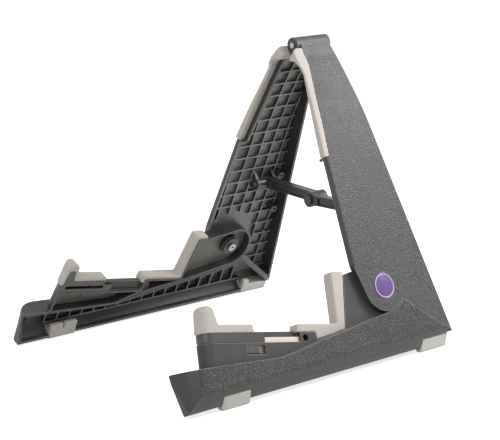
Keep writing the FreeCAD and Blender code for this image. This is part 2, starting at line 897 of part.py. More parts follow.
def foot_notch(which):
    """Cut-out in the arm's lower band that the foot fills."""
    low, high = foot_span(which)
    if which == "rear":
        high = high + CLEAR
    top = -foot_top_drop
    low_level = -(base_drop + CLEAR)
    outline = [(-CLEAR, low_level), (outer + CLEAR, low_level), (outer + CLEAR, top), (-CLEAR, top)]
    return solid(f"{which}_foot_notch", SIDE, "front", outline, low, high)


def make_foot(which):
    """Rubber foot: posts inside, a slanted sole on the ground and a face on the skirt."""
    def ground(depth):
        return -(d.hinge_height + depth * sine(d.half_spread)) / cosine(d.half_spread)

    low, high = foot_span(which)
    inside = d.rim_gap + 0.2
    block = inside + d.foot_block_depth
    share = (foot_top_drop - base_drop + d.skirt_rise) / d.skirt_rise
    face = outer - d.skirt_inset * share + d.foot_proud * 2.0
    body = new_body(f"right_{which}_foot", SIDE)
    outline = [(inside, ground(inside)),
               (d.foot_sole, ground(d.foot_sole)),
               (face, -foot_top_drop),
               (block, -foot_top_drop),
               (block, -foot_block_drop),
               (inside, -foot_block_drop)]
    pad(body, f"{which}_foot_pad", "front", outline, low, high)
    middle = (low + high) / 2.0
    half = d.foot_slot / 2.0
    gap = (middle - half, middle + half) if which == "front" else (low + d.foot_post, high + CLEAR)
    slot = [(inside - CLEAR, -foot_top_drop), (block + CLEAR, -foot_top_drop),
            (block + CLEAR, -foot_block_drop + CLEAR), (inside - CLEAR, -foot_block_drop + CLEAR)]
    pocket(body, f"{which}_foot_slot", "front", slot, *gap)
    return body


def button_window():
    """Window in the tray's side wall that the lock button slides in."""
    low = d.button_start - d.button_gap
    high = d.button_start + d.button_length + d.button_travel + d.button_gap
    top = -d.button_drop + d.button_gap
    base = -(d.button_drop + d.button_height + d.button_room)
    outline = [(low, base), (high, base), (high, top), (low, top)]
    return solid("button_window", RAIL, "side", outline,
                 cradle_side - d.cradle_wall - CLEAR, cradle_side + CLEAR)


def make_cradle_pad():
    """Rubber boot over seat and backrest, with a skirt on the outer side."""
    body = new_body("right_cradle_pad", RAIL)
    skirt = d.floor_height - d.seat_skirt
    boot = d.boot_wall
    rounding = boot * 1.2
    sole = d.seat_start + boot * 6.5
    outline = [(d.seat_start, skirt),
               (sole, skirt),
               (sole + boot / 3.0, boot / 2.0),
               (back_end - boot / 2.0, skirt + boot * 0.6),
               (back_top, d.backrest_height),
               (d.backrest_start + rounding, d.backrest_height, rounding, LEFT_TURN),
               (d.backrest_start, d.backrest_height - rounding),
               (d.backrest_start, d.floor_height),
               (d.seat_start + boot / 2.0, d.floor_height)]
    pad(body, "cradle_pad_form", "side", outline, d.rim_gap, cradle_side)
    core = [(core_start, -CLEAR),
            (back_top + CLEAR, -CLEAR),
            (back_top + CLEAR, back_height),
            (back_start, back_height),
            (back_start, core_height),
            (core_start, core_height)]
    pocket(body, "cradle_pad_core", "side", core, as_size(0), cradle_side - d.boot_skirt)
    return body


def make_arm(cradle_pad):
    hollow = arm_form("arm_hollow", d.side_wall, d.rim_gap - CLEAR, floor)
    blank = fuse("arm_solid", arm_form("arm_blank", as_size(0), d.rim_gap, outer), arm_tower())
    shell = cut("arm_shell", blank, hollow, *arm_tower_hollow())
    boss = solid("arm_boss", SIDE, "side", circle(*pivot, d.post_radius + d.boss_radius),
                 d.rim_gap + d.post_depth + d.seat_gap, cradle_side - d.cradle_wall / 2.0)
    rail = [(d.rail_start, -d.cradle_wall / 2.0), (core_start + d.cradle_wall / 2.0, -d.cradle_wall / 2.0),
            (core_start + d.cradle_wall / 2.0, d.rail_height), (d.rail_start, d.rail_height)]
    rail_bar = solid("arm_rail", RAIL, "side", rail, d.rim_gap + d.rail_inner,
                     d.rim_gap + d.rail_inner + d.rail_width)
    bore = solid("arm_bore", SIDE, "side", circle(*pivot, d.post_radius + d.running_gap),
                 as_size(0), outer)
    hole_centre = (core_start + d.side_hole_reach, d.side_hole_height)
    hole_floor = cradle_side - d.side_hole_depth
    hole_boss = solid("arm_hole_boss", RAIL, "side", circle(*hole_centre, d.side_hole + d.cradle_wall),
                      hole_floor - d.cradle_wall, cradle_side - d.cradle_wall / 2.0)
    side_hole = solid("arm_side_hole", RAIL, "side", circle(*hole_centre, d.side_hole),
                      hole_floor, cradle_side + CLEAR)
    filled = fuse("arm_filled", shell, arm_ribs(), boss, rail_bar, hole_boss)
    return cut("right_arm", filled, bore, side_hole, button_window(), foot_notch("front"),
               foot_notch("rear"), cradle_pad)


# Sliding hook and its lock

hook_front = d.boot_wall - d.hook_overhang
hook_rear = d.hook_length - d.boot_wall
hook_top = d.hook_height - d.boot_wall * 2.4
hook_side = cradle_side - d.boot_skirt


def hook_corner(less):
    """Top view: what lies outside the round corner of the hook's core."""
    return beyond_corner(hook_side, hook_front, d.carriage_round - less)


def make_hook_pad():
    """Rubber boot over the carriage's top and hook, with a skirt on the outer side."""
    form = new_body("hook_pad_blank", RAIL)
    skirt = d.floor_height - d.strip_skirt
    top = d.hook_height
    rounding = d.hook_round
    front = -d.hook_overhang
    back = d.hook_length
    outline = [(front, skirt),
               (d.strip_length + d.boot_wall / 2.0, skirt),
               (d.strip_length, d.floor_height),
               (back, d.floor_height),
               (back - d.hook_lean, top - rounding, rounding, LEFT_TURN),
               (back - d.hook_lean - rounding, top),
               (front + d.hook_lean + rounding * 0.5, top, rounding, LEFT_TURN),
               (front + d.hook_lean * 0.5, top - rounding)]
    pad(form, "hook_pad_form", "side", outline, d.rim_gap, cradle_side)
    pocket(form, "hook_pad_corner", "top", beyond_corner(cradle_side, front, d.carriage_round),
           skirt - CLEAR, top + CLEAR)
    core = [(hook_front, -CLEAR),
            (d.strip_length + CLEAR, -CLEAR),
            (d.strip_length + CLEAR, core_height),
            (hook_rear, core_height),
            (hook_rear - d.hook_lean, hook_top),
            (hook_front + d.hook_lean, hook_top)]
    room = solid("hook_pad_room", RAIL, "side", core, as_size(0), hook_side)
    pocket(room, "hook_pad_room_corner", "top", hook_corner(d.boot_skirt), -CLEAR * 2.0, top)
    return cut("right_hook_pad", form, room)


def make_carriage(hook_pad):
    """Box that slides over the rail, open below and behind, with the hook's core on top."""
    inner = d.rim_gap * 2.0
    wall = d.carriage_wall
    body = new_body("carriage_blank", RAIL)
    box = [(as_size(0), d.carriage_lift), (d.carriage_length, d.carriage_lift),
           (d.carriage_length, core_height), (as_size(0), core_height)]
    pad(body, "carriage_box", "side", box, inner, cradle_side)

    def front_corner(edge):
        outside = min(v.X for v in edge.Vertexes) > cradle_side.value - 0.01
        return outside and max(v.Y for v in edge.Vertexes) < 0.01

    round_edges(body, "carriage_corner", d.carriage_round, front_corner)
    hook_base = core_height - d.carriage_plate
    hook = [(hook_front, hook_base), (hook_rear, hook_base),
            (hook_rear, core_height), (hook_rear - d.hook_lean, hook_top),
            (hook_front + d.hook_lean, hook_top), (hook_front, core_height)]
    pad(body, "hook_core", "side", hook, inner, hook_side)
    pocket(body, "hook_core_corner", "top", hook_corner(d.boot_wall), hook_base, d.hook_height)
    front = hook_front + wall
    corner = d.carriage_round - front
    side = cradle_side - wall
    hollow = [(inner + wall, front), (side - corner, front, corner, LEFT_TURN), (side, front + corner),
              (side, d.carriage_length + CLEAR), (inner + wall, d.carriage_length + CLEAR)]
    pocket(body, "carriage_hollow", "top", hollow, -CLEAR, core_height - d.carriage_plate)
    slot_low = d.carriage_lift + wall * 2.0
    slot = [(wall * 4.0, slot_low), (d.strip_length, slot_low),
            (d.strip_length, slot_low + wall * 2.0), (wall * 4.0, slot_low + wall * 2.0)]
    pocket(body, "carriage_slot", "side", slot, as_size(0), inner + wall)
    step_start = d.strip_length + d.seat_gap
    step_height = d.floor_height - d.strip_skirt - wall / 2.0
    step = [(step_start, step_height), (d.carriage_length + CLEAR, step_height),
            (d.carriage_length + CLEAR, core_height + CLEAR), (step_start, core_height + CLEAR)]
    pocket(body, "carriage_step", "side", step, as_size(0), cradle_side + CLEAR)
    return cut("right_hook_carriage", body, hook_pad)


def make_glide_rail():
    low = d.rim_gap + d.rail_inner + d.rail_width + d.glide_gap
    outline = [(d.rail_start, as_size(0)), (core_start, as_size(0)),
               (core_start, d.glide_height), (d.rail_start, d.glide_height)]
    return solid("right_glide_rail", RAIL, "side", outline, low, low + d.glide_width)


def make_lock_button():
    """Ribbed slide in the tray's side wall, held by a wider flange behind the window."""
    body = new_body("right_lock_button", RAIL)
    low, high = d.button_start, d.button_start + d.button_length
    top, base = -d.button_drop, -(d.button_drop + d.button_height)
    inside = cradle_side - d.cradle_wall
    face = [(low, base), (high, base), (high, top), (low, top)]
    pad(body, "button_face", "side", face, inside - d.button_gap, cradle_side - d.button_gap)
    rim = d.button_flange
    edge_top = top + d.button_gap * 2.0
    ends = (low - rim - d.button_travel, high + rim + d.button_travel)
    flange_base = base - d.button_room - rim
    flange = [(ends[0], flange_base), (ends[1], flange_base), (ends[1], edge_top), (ends[0], edge_top)]
    flange_face = inside - d.button_gap / 3.0
    pad(body, "button_flange", "side", flange, flange_face - d.button_flange, flange_face)
    start = low + d.ridge_width
    ridge = [(start, base + d.button_gap), (start + d.ridge_width, base + d.button_gap),
             (start + d.ridge_width, top - d.button_gap), (start, top - d.button_gap)]
    pad(body, "button_ridge", "side", ridge, cradle_side - d.button_gap * 2.0,
        cradle_side - d.button_gap + d.ridge_height)
    repeat(body, "button_ridges", "Y_Axis", d.ridge_pitch,
           whole((d.button_length - d.ridge_width * 2.0) / d.ridge_pitch))
    return body


# Pivot hardware, hinge pin and spreader

def cross_outline(reach, half):
    """Plus sign about the pivot, drawn arm by arm."""
    corners = []
    for across, up in ((1.0, 0.0), (0.0, 1.0), (-1.0, 0.0), (0.0, -1.0)):
        for along, aside in ((reach, -half), (reach, half), (half, half)):
            corners.append((pivot[0] + along * across - aside * up, pivot[1] + along * up + aside * across))
    return corners


def make_pivot_hardware():
    end = d.rim_gap + d.post_depth
    washer = solid("right_pivot_washer", SIDE, "side", circle(*pivot, d.washer_radius),
                   end - d.washer_wall, end)
    pocket(washer, "washer_bore", "side", circle(*pivot, d.screw_radius), as_size(0), end)
    seat = end - d.washer_wall
    screw = solid("right_pivot_screw", SIDE, "side", circle(*pivot, d.screw_radius),
                  seat, seat + d.screw_length)
    pad(screw, "screw_head_pad", "side", circle(*pivot, d.screw_head), seat - d.screw_head_height, seat)
    pocket(screw, "screw_cross", "side", cross_outline(d.cross_reach, d.cross_width / 2.0),
           seat - d.screw_head_height - CLEAR, seat - d.screw_head_height / 2.0)
    badge = solid("right_badge_cap", SIDE, "side", circle(*pivot, d.badge_radius),
                  outer - d.badge_seat, outer - d.badge_seat + d.badge_wall)
    return [washer, screw, badge]


def make_hinge_pin():
    body = new_body("hinge_pin", STAND)
    middle = circle(0, d.hinge_height, d.pin_radius)
    head = circle(0, d.hinge_height, d.pin_head)
    pad(body, "hinge_pin_shank", "front", middle, -d.knuckle_front, d.knuckle_rear)
    pad(body, "hinge_pin_head", "front", head, -(d.knuckle_front + d.pin_head_height), -d.knuckle_front)
    return body


brace_out = d.brace_depth + d.rim_gap
brace_x = brace_out * cosine(d.half_spread) + d.brace_drop * sine(d.half_spread)
brace_z = d.hinge_height + brace_out * sine(d.half_spread) - d.brace_drop * cosine(d.half_spread)
brace_mid_z = brace_z - d.brace_sag
brace_rear = d.brace_front + d.brace_width
slice_middle = d.brace_front + d.brace_width / 2.0


def brace_slice(right):
    """Depth that a link keeps to, in front for the right one and behind for the left."""
    gap = d.slice_gap / 2.0
    if right:
        return (d.brace_front, slice_middle - gap)
    return (slice_middle + gap, brace_rear)


def make_link(side):
    """Half of the spreader: barrel in the leg's ears, bar and middle knuckle."""
    right = side == "right"
    reach = brace_x if right else -brace_x
    front, rear = brace_slice(right)
    half = d.brace_height / 2.0
    bar = [(reach, brace_z - half), (reach, brace_z + half),
           (as_size(0), brace_mid_z + half), (as_size(0), brace_mid_z - half)]
    body = new_body(f"{side}_brace_link", STAND)
    pad(body, f"{side}_link_bar", "front", bar, front, rear)
    pad(body, f"{side}_link_knuckle", "front", circle(0, brace_mid_z, d.brace_knuckle), front, rear)
    pad(body, f"{side}_link_barrel", "front", circle(reach, brace_z, d.brace_barrel),
        d.brace_front, brace_rear)
    shrink = half - d.brace_recess
    ends = [reach * 0.16, reach * 0.84]
    recess = [(ends[1], brace_z - shrink), (ends[1], brace_z + shrink),
              (ends[0], brace_mid_z + shrink), (ends[0], brace_mid_z - shrink)]
    pocket(body, f"{side}_link_recess", "front", recess, front, front + d.brace_recess)
    pocket(body, f"{side}_link_bore", "front", circle(reach, brace_z, d.brace_pin + d.running_gap),
           d.brace_front, brace_rear)
    pocket(body, f"{side}_link_eye", "front", circle(0, brace_mid_z, d.brace_bolt), front, rear)
    return body


def make_brace_pins():
    """Pins in the leg's ears, and the bolt and nut that meet at the middle knuckle."""
    ear = d.slice_gap + d.ear_wall
    ear_pin = solid("right_brace_pin", STAND, "front", circle(brace_x, brace_z, d.brace_pin),
                    d.brace_front - ear, brace_rear + ear)
    shank = circle(0, brace_mid_z, d.brace_bolt)
    head = circle(0, brace_mid_z, d.brace_bolt_head)
    front, split = brace_slice(True)
    bolt = solid("brace_bolt", STAND, "front", shank, front, split)
    pad(bolt, "brace_bolt_head", "front", head, front - d.bolt_head_height, front)
    split, rear = brace_slice(False)
    nut = solid("brace_nut", STAND, "front", shank, split, rear)
    half = d.brace_bolt_head / 2.0
    flat = half * root(as_size(3.0))
    hexagon = [(half * 2.0, brace_mid_z), (half, brace_mid_z + flat), (-half, brace_mid_z + flat),
               (-half * 2.0, brace_mid_z), (-half, brace_mid_z - flat), (half, brace_mid_z - flat)]
    pad(nut, "brace_nut_head", "front", hexagon, rear, rear + d.bolt_head_height)
    return ear_pin, bolt, nut


def make_parts():
    """All sub-parts of the stand: right-hand ones, their mirrored twins and shared ones."""
    legs = make_legs()
    cradle_pad = make_cradle_pad()
    hook_pad = make_hook_pad()
    ear_pin, bolt, nut = make_brace_pins()
    right = [make_leg_pad(), make_arm(cradle_pad), cradle_pad, hook_pad, make_carriage(hook_pad),
             make_glide_rail(), make_lock_button(), make_foot("front"), make_foot("rear"),
             *make_pivot_hardware(), ear_pin]
    left = [mirror(piece.Label.replace("right_", "left_"), piece) for piece in right]
    links = [make_link("right"), make_link("left")]
    return [legs["right"], legs["left"], *right, *left, *links, make_hinge_pin(), bolt, nut]


def check(parts):
    """Stop before anything is written if a feature failed or a solid isn't sound."""
    for item in doc.Objects:
        if {"Invalid", "Error"} & set(item.State):
            raise RuntimeError(f"{item.Name} failed: {item.State}")
    for piece in parts:
        if piece.Shape.isNull() or not piece.Shape.isValid():
            raise RuntimeError(f"{piece.Label} has no sound shape")


def main():
    parts = make_parts()
    doc.recompute()
    check(parts)
    os.makedirs("parts", exist_ok=True)
    for piece in parts:
        piece.Shape.exportStep(f"parts/{piece.Label}.step")
        print(f"{piece.Label}: {len(piece.Shape.Solids)} solid, {piece.Shape.Volume:.0f} mm3")


main()
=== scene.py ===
"""Dresses the folding guitar stand for a plain studio picture.

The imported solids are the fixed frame. The moulded shells keep their solids and get a grained
plastic, and the rubber pads, boots and feet are replaced by rounded soft pieces that sit in the
same space. All sizes are in metres.
"""
from __future__ import annotations

import json
import logging
import math
from dataclasses import dataclass, field
from enum import Enum

import bmesh
import bpy
from mathutils import Matrix, Vector

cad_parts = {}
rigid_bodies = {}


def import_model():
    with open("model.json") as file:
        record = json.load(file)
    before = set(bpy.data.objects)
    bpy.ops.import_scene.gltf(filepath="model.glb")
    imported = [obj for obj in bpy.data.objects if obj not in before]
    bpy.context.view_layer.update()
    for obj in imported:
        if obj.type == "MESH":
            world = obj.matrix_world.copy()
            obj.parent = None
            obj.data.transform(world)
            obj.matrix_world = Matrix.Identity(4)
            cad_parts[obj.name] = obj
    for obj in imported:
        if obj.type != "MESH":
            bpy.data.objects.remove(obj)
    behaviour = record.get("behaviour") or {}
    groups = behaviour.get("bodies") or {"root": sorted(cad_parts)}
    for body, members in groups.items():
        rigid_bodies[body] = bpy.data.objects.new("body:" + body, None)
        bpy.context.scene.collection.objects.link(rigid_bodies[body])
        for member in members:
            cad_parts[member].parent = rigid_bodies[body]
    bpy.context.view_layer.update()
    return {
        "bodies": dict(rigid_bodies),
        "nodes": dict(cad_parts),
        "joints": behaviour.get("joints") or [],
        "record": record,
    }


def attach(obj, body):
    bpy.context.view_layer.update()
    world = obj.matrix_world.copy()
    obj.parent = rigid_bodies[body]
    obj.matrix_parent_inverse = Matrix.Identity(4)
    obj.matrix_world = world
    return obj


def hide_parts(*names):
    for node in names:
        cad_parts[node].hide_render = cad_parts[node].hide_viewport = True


LOG = logging.getLogger("guitar_stand")

Colour = tuple[float, float, float]
Place = tuple[float, float, float]
Span = tuple[float, float]

RISE: Span = (0.0, 1.0)
FALL: Span = (1.0, 0.0)
MIDDLE = 0.5
WHITE: Colour = (1.0, 1.0, 1.0)


class Half(Enum):
    """The two mirrored halves of the stand."""

    RIGHT = "right"
    LEFT = "left"

    @property
    def sign(self) -> float:
        """Sign of the half's own side of the middle."""
        return 1.0 if self is Half.RIGHT else -1.0

    def node(self, piece: str) -> str:
        """Name of a solid, or a body, on this half."""
        return f"{self.value}_{piece}"


class Pads(Enum):
    """Soft solids of one half, with the part of the half that carries each."""

    LEG = ("leg_pad", "leg")
    CRADLE = ("cradle_pad", "arm")
    HOOK = ("hook_pad", "carriage")
    FRONT_FOOT = ("front_foot", "arm")
    REAR_FOOT = ("rear_foot", "arm")

    @property
    def solid(self) -> str:
        """Name of the solid without its half."""
        return self.value[0]

    @property
    def carrier(self) -> str:
        """Name of the body without its half."""
        return self.value[1]

    @property
    def padded(self) -> bool:
        """Whether the piece is a pad that touches the instrument."""
        return self in (Pads.LEG, Pads.CRADLE, Pads.HOOK)


@dataclass(frozen=True)
class Layout:
    """Where the halves stand: the same plan as the solids were drawn on.

    Depths count outwards from the plane where the closed halves meet, reaches and backs from the
    hinge pin along the floor, and drops down the leg from the pin.
    """

    half_spread: float = math.radians(24.5)
    hinge_height: float = 0.258
    depth_shift: float = 0.09335
    pivot_reach: float = 0.0105
    pivot_drop: float = 0.2224
    outer_face: float = 0.0175
    pad_front: float = 0.020
    pad_slope: float = 0.13
    pad_wall: float = 0.004

    def place(self, half: Half, depth: float, back: float, up: float) -> Vector:
        """Point of a half, given in the plane where the stand is closed.

        Args:
            half: which half.
            depth: distance outwards from the closing plane.
            back: distance behind the hinge pin.
            up: height above the hinge pin, along the leg.

        Returns:
            The point on the open stand.
        """
        sine, cosine = math.sin(self.half_spread), math.cos(self.half_spread)
        across = depth * cosine - up * sine
        return Vector((half.sign * across, self.depth_shift + back,
                       self.hinge_height + depth * sine + up * cosine))

    def spot(self, half: Half, point: Vector) -> tuple[float, float, float]:
        """Place of a point in the plane where the stand is closed.

        Args:
            half: which half the point belongs to.
            point: the point on the open stand.

        Returns:
            Its depth, its distance behind the hinge pin and its drop below it along the leg.
        """
        sine, cosine = math.sin(self.half_spread), math.cos(self.half_spread)
        across, rise = half.sign * point.x, point.z - self.hinge_height
        return across * cosine + rise * sine, point.y - self.depth_shift, across * sine - rise * cosine

    def outward(self, half: Half) -> Vector:
        """Unit vector square to a half's outer face, away from the middle."""
        return Vector((half.sign * math.cos(self.half_spread), 0.0, math.sin(self.half_spread)))

    def upward(self, half: Half) -> Vector:
        """Unit vector up along a half's leg."""
        return Vector((-half.sign * math.sin(self.half_spread), 0.0, math.cos(self.half_spread)))

    def pivot(self, half: Half, depth: float) -> Vector:
        """Point on the arm's pivot axis at a depth."""
        return self.place(half, depth, -self.pivot_reach, -self.pivot_drop)


class Tree:
    """A node tree with short calls to add and join nodes."""

    def __init__(self, tree: bpy.types.NodeTree) -> None:
        """Keep the tree that nodes are added to."""
        self.tree = tree

    def add(self, kind: str, **settings: object) -> bpy.types.Node:
        """Add a node.

        Args:
            kind: the node's type name.
            settings: attributes to set on it.

        Returns:
            The new node.
        """
        node = self.tree.nodes.new(kind)
        for name, value in settings.items():
            setattr(node, name, value)
        return node

    def join(self, source: bpy.types.NodeSocket, target: bpy.types.NodeSocket) -> None:
        """Link one socket to another."""
        self.tree.links.new(source, target)

    def feed(self, socket: bpy.types.NodeSocket, value: object) -> None:
        """Give a socket a number, or link it to another socket.

        Args:
            socket: the input to set.
            value: a number or a socket.
        """
        if isinstance(value, (int, float)):
            socket.default_value = value
        else:
            self.join(value, socket)

    def sums(self, operation: str, first: object, second: object = 0.0) -> bpy.types.NodeSocket:
        """Add a maths node.

        Args:
            operation: Blender's name of the operation.
            first: a socket or a number.
            second: a socket or a number.

        Returns:
            The node's result.
        """
        node = self.add("ShaderNodeMath", operation=operation)
        self.feed(node.inputs[0], first)
        self.feed(node.inputs[1], second)
        return node.outputs[0]

    def times(self, first: object, second: object) -> bpy.types.NodeSocket:
        """Product of two values, each a socket or a number."""
        return self.sums("MULTIPLY", first, second)

    def fade(self, value: bpy.types.NodeSocket, span: Span, ends: Span = RISE) -> bpy.types.NodeSocket:
        """Map a range of values smoothly to another.

        Args:
            value: what to map.
            span: where the change starts and where it is complete.
            ends: results before and after it.

        Returns:
            The mapped value.
        """
        node = self.add("ShaderNodeMapRange", interpolation_type="SMOOTHSTEP")
        for name, number in zip(("From Min", "From Max", "To Min", "To Max"), (*span, *ends)):
            node.inputs[name].default_value = number
        self.join(value, node.inputs["Value"])
        return node.outputs["Result"]

    def blend(self, factor: bpy.types.NodeSocket, first: object, second: object) -> bpy.types.NodeSocket:
        """Mix two colours.

        Args:
            factor: share of the second colour.
            first: a colour or a socket.
            second: a colour or a socket.

        Returns:
            The mixed colour.
        """
        node = self.add("ShaderNodeMix", data_type="RGBA")
        self.join(factor, node.inputs[0])
        for socket, value in ((node.inputs[6], first), (node.inputs[7], second)):
            if isinstance(value, tuple):
                socket.default_value = (*value, 1.0)
            else:
                self.join(value, socket)
        return node.outputs[2]

    def noise(self, place: bpy.types.NodeSocket, scale: bpy.types.NodeSocket, detail: float,
              roughness: float = 0.5) -> bpy.types.NodeSocket:
        """Add a noise pattern.

        Args:
            place: where the pattern is read.
            scale: how many patches lie in a metre.
            detail: how many finer layers it has.
            roughness: how strong the finer layers are.

        Returns:
            The pattern's value, from 0 to 1.
        """
        node = self.add("ShaderNodeTexNoise")
        node.inputs["Detail"].default_value = detail
        node.inputs["Roughness"].default_value = roughness
        self.join(place, node.inputs["Vector"])
        self.join(scale, node.inputs["Scale"])
        return node.outputs["Fac"]


class EffectGroup(Tree):
    """A shader group in the making, with its inputs and outputs by name."""

    def __init__(self, name: str, inputs: dict[str, float | None], outputs: tuple[str, ...]) -> None:
        """Start the group.

        Args:
            name: the group's name.
            inputs: socket names with a default number, or None for a vector.
            outputs: names of the values that come out.
        """
        super().__init__(bpy.data.node_groups.new(name, "ShaderNodeTree"))
        for title, default in inputs.items():
            kind = "NodeSocketVector" if default is None else "NodeSocketFloat"
            socket = self.tree.interface.new_socket(title, in_out="INPUT", socket_type=kind)
            if default is not None:
                socket.default_value = default
        for title in outputs:
            self.tree.interface.new_socket(title, in_out="OUTPUT", socket_type="NodeSocketFloat")
        self.given = self.add("NodeGroupInput").outputs
        self.result = self.add("NodeGroupOutput").inputs


@dataclass(frozen=True)
class PebbleGrain:
    """Pebbled leather grain: soft cells of uneven height, broken up by fine noise."""

    cells: float = 500.0
    roughen: float = 0.5
    cell_blur: float = 0.35
    dome: Span = (0.05, 0.75)
    noise_share: float = 0.6
    noise_detail: float = 3.0
    tone: Span = (0.15, 1.0)

    def build(self) -> bpy.types.NodeTree:
        """Make the group.

        Returns:
            The group, with Height and Tone as its outputs.
        """
        made = EffectGroup("Pebble grain", {"Place": None, "Cells": self.cells, "Roughen": self.roughen},
                           ("Height", "Tone"))
        place, cells = made.given["Place"], made.given["Cells"]
        wobble = made.noise(place, made.times(cells, self.noise_share), self.noise_detail)
        pebbles = made.add("ShaderNodeTexVoronoi", feature="SMOOTH_F1")
        pebbles.inputs["Smoothness"].default_value = self.cell_blur
        made.join(place, pebbles.inputs["Vector"])
        made.join(cells, pebbles.inputs["Scale"])
        domes = made.fade(pebbles.outputs["Distance"], self.dome, FALL)
        fine = made.times(made.sums("SUBTRACT", wobble, MIDDLE), made.given["Roughen"])
        height = made.sums("ADD", domes, fine)
        made.join(height, made.result["Height"])
        made.join(made.fade(height, self.tone), made.result["Tone"])
        return made.tree


@dataclass(frozen=True)
class EdgeWearAndHighlight:
    """Edges lighter where worn, with a painted highlight along them: where the rounded normal leaves the
    flat one, in patches.
    """

    patches: float = 60.0
    edge: Span = (0.8, 0.995)
    patch_detail: float = 4.0
    patch_limits: Span = (0.3, 0.7)
    patch_strength: Span = (0.55, 1.0)

    def build(self) -> bpy.types.NodeTree:
        """Make the group.

        Returns:
            The group, with Mask as its output.
        """
        made = EffectGroup("Rubbed edges", {"Place": None, "Rounded": None, "Flat": None,
                                            "Patches": self.patches}, ("Mask",))
        turn = made.add("ShaderNodeVectorMath", operation="DOT_PRODUCT")
        made.join(made.given["Rounded"], turn.inputs[0])
        made.join(made.given["Flat"], turn.inputs[1])
        edge = made.fade(turn.outputs["Value"], self.edge, FALL)
        patches = made.noise(made.given["Place"], made.given["Patches"], self.patch_detail)
        strength = made.fade(patches, self.patch_limits, self.patch_strength)
        made.join(made.times(edge, strength), made.result["Mask"])
        return made.tree


@dataclass(frozen=True)
class HandlingFilm:
    """Handling marks: large uneven patches with fine specks, stronger on faces that look up."""

    patches: float = 25.0
    patch_detail: float = 5.0
    patch_roughness: float = 0.6
    patch_limits: Span = (0.3, 0.75)
    tilt: Span = (-0.2, 1.0)
    tilt_strength: Span = (0.45, 1.0)
    specks_to_a_patch: float = 60.0
    speck_detail: float = 2.0
    speck_limits: Span = (0.25, 0.75)

    def build(self) -> bpy.types.NodeTree:
        """Make the group.

        Returns:
            The group, with Film and Specks as its outputs.
        """
        made = EffectGroup("Handling film", {"Place": None, "Facing": None, "Patches": self.patches},
                           ("Film", "Specks"))
        place, count = made.given["Place"], made.given["Patches"]
        patches = made.noise(place, count, self.patch_detail, self.patch_roughness)
        parts = made.add("ShaderNodeSeparateXYZ")
        made.join(made.given["Facing"], parts.inputs[0])
        upwards = made.fade(parts.outputs["Z"], self.tilt, self.tilt_strength)
        made.join(made.times(made.fade(patches, self.patch_limits), upwards), made.result["Film"])
        specks = made.noise(place, made.times(count, self.specks_to_a_patch), self.speck_detail)
        made.join(made.fade(specks, self.speck_limits), made.result["Specks"])
        return made.tree


@dataclass(frozen=True)
class Effects:
    """Shader groups that several finishes share, each built once."""

    grain: bpy.types.NodeTree
    rub: bpy.types.NodeTree
    film: bpy.types.NodeTree

    @classmethod
    def build(cls) -> Effects:
        """Build every group."""
        return cls(PebbleGrain().build(), EdgeWearAndHighlight().build(), HandlingFilm().build())


class Surface(Tree):
    """A material in the making: its shader and the places that the patterns read."""

    BEVEL_SAMPLES = 6

    def __init__(self, name: str) -> None:
        """Start a material with one shader.

        Args:
            name: the material's name.
        """
        self.material = bpy.data.materials.new(name)
        self.material.use_nodes = True
        super().__init__(self.material.node_tree)
        self.tree.nodes.clear()
        self.shader = self.add("ShaderNodeBsdfPrincipled")
        end = self.add("ShaderNodeOutputMaterial")
        self.join(self.shader.outputs[0], end.inputs["Surface"])
        read = self.add("ShaderNodeTexCoord")
        self.spot, self.normal = read.outputs["Object"], read.outputs["Normal"]

    def set(self, **values: object) -> None:
        """Set or link the shader's inputs.

        Args:
            values: numbers, colours or sockets, by the input's name with _ for a space.
        """
        for name, value in values.items():
            socket = self.shader.inputs[name.replace("_", " ")]
            if isinstance(value, tuple):
                socket.default_value = (*value, 1.0)
            else:
                self.feed(socket, value)

    def effect(self, group: bpy.types.NodeTree, **values: object) -> bpy.types.Node:
        """Place a shared group in this material.

        Args:
            group: which group.
            values: its inputs by name, as numbers or sockets.

        Returns:
            The group node.
        """
        node = self.add("ShaderNodeGroup", node_tree=group)
        for name, value in values.items():
            self.feed(node.inputs[name], value)
        return node

    def handled(self, effects: Effects, patches: float) -> bpy.types.NodeOutputs:
        """Place the handling film in this material.

        Args:
            effects: the shared groups.
            patches: how many patches lie in a metre.

        Returns:
            The film's outputs, Film and Specks.
        """
        return self.effect(effects.film, Place=self.spot, Facing=self.normal, Patches=patches).outputs

    def soften(self, radius: float) -> bpy.types.NodeSocket:
        """Normal with the sharp edges rounded.

        Args:
            radius: how far from an edge the rounding reaches.

        Returns:
            The rounded normal.
        """
        node = self.add("ShaderNodeBevel", samples=self.BEVEL_SAMPLES)
        node.inputs["Radius"].default_value = radius
        return node.outputs["Normal"]

    def relief(self, height: bpy.types.NodeSocket, depth: float, normal: bpy.types.NodeSocket) -> None:
        """Raise the surface by a pattern.

        Args:
            height: the pattern, from 0 to about 1.
            depth: height of the pattern at 1.
            normal: the normal that it is raised over.
        """
        node = self.add("ShaderNodeBump")
        node.inputs["Strength"].default_value = 1.0
        node.inputs["Distance"].default_value = depth
        self.join(height, node.inputs["Height"])
        self.join(normal, node.inputs["Normal"])
        self.set(Normal=node.outputs["Normal"])

    def flat_normal(self) -> bpy.types.NodeSocket:
        """The face's own normal."""
        return self.add("ShaderNodeNewGeometry").outputs["Normal"]


@dataclass(frozen=True)
class FaceLimits:
    """Where one kind of face fades into the next.

    Looks are cosines against the half's outward direction, depths count outwards from the plane
    where the closed halves meet, and heights from the floor.
    """

    outward_looks: Span = (0.74, 0.86)
    inward_looks: Span = (-0.99, -0.94)
    floor_depths: Span = (0.006, 0.008)
    panel_depths: Span = (0.0155, 0.0165)
    panel_heights: Span = (0.12, 0.14)
    knuckle_heights: Span = (0.248, 0.252)


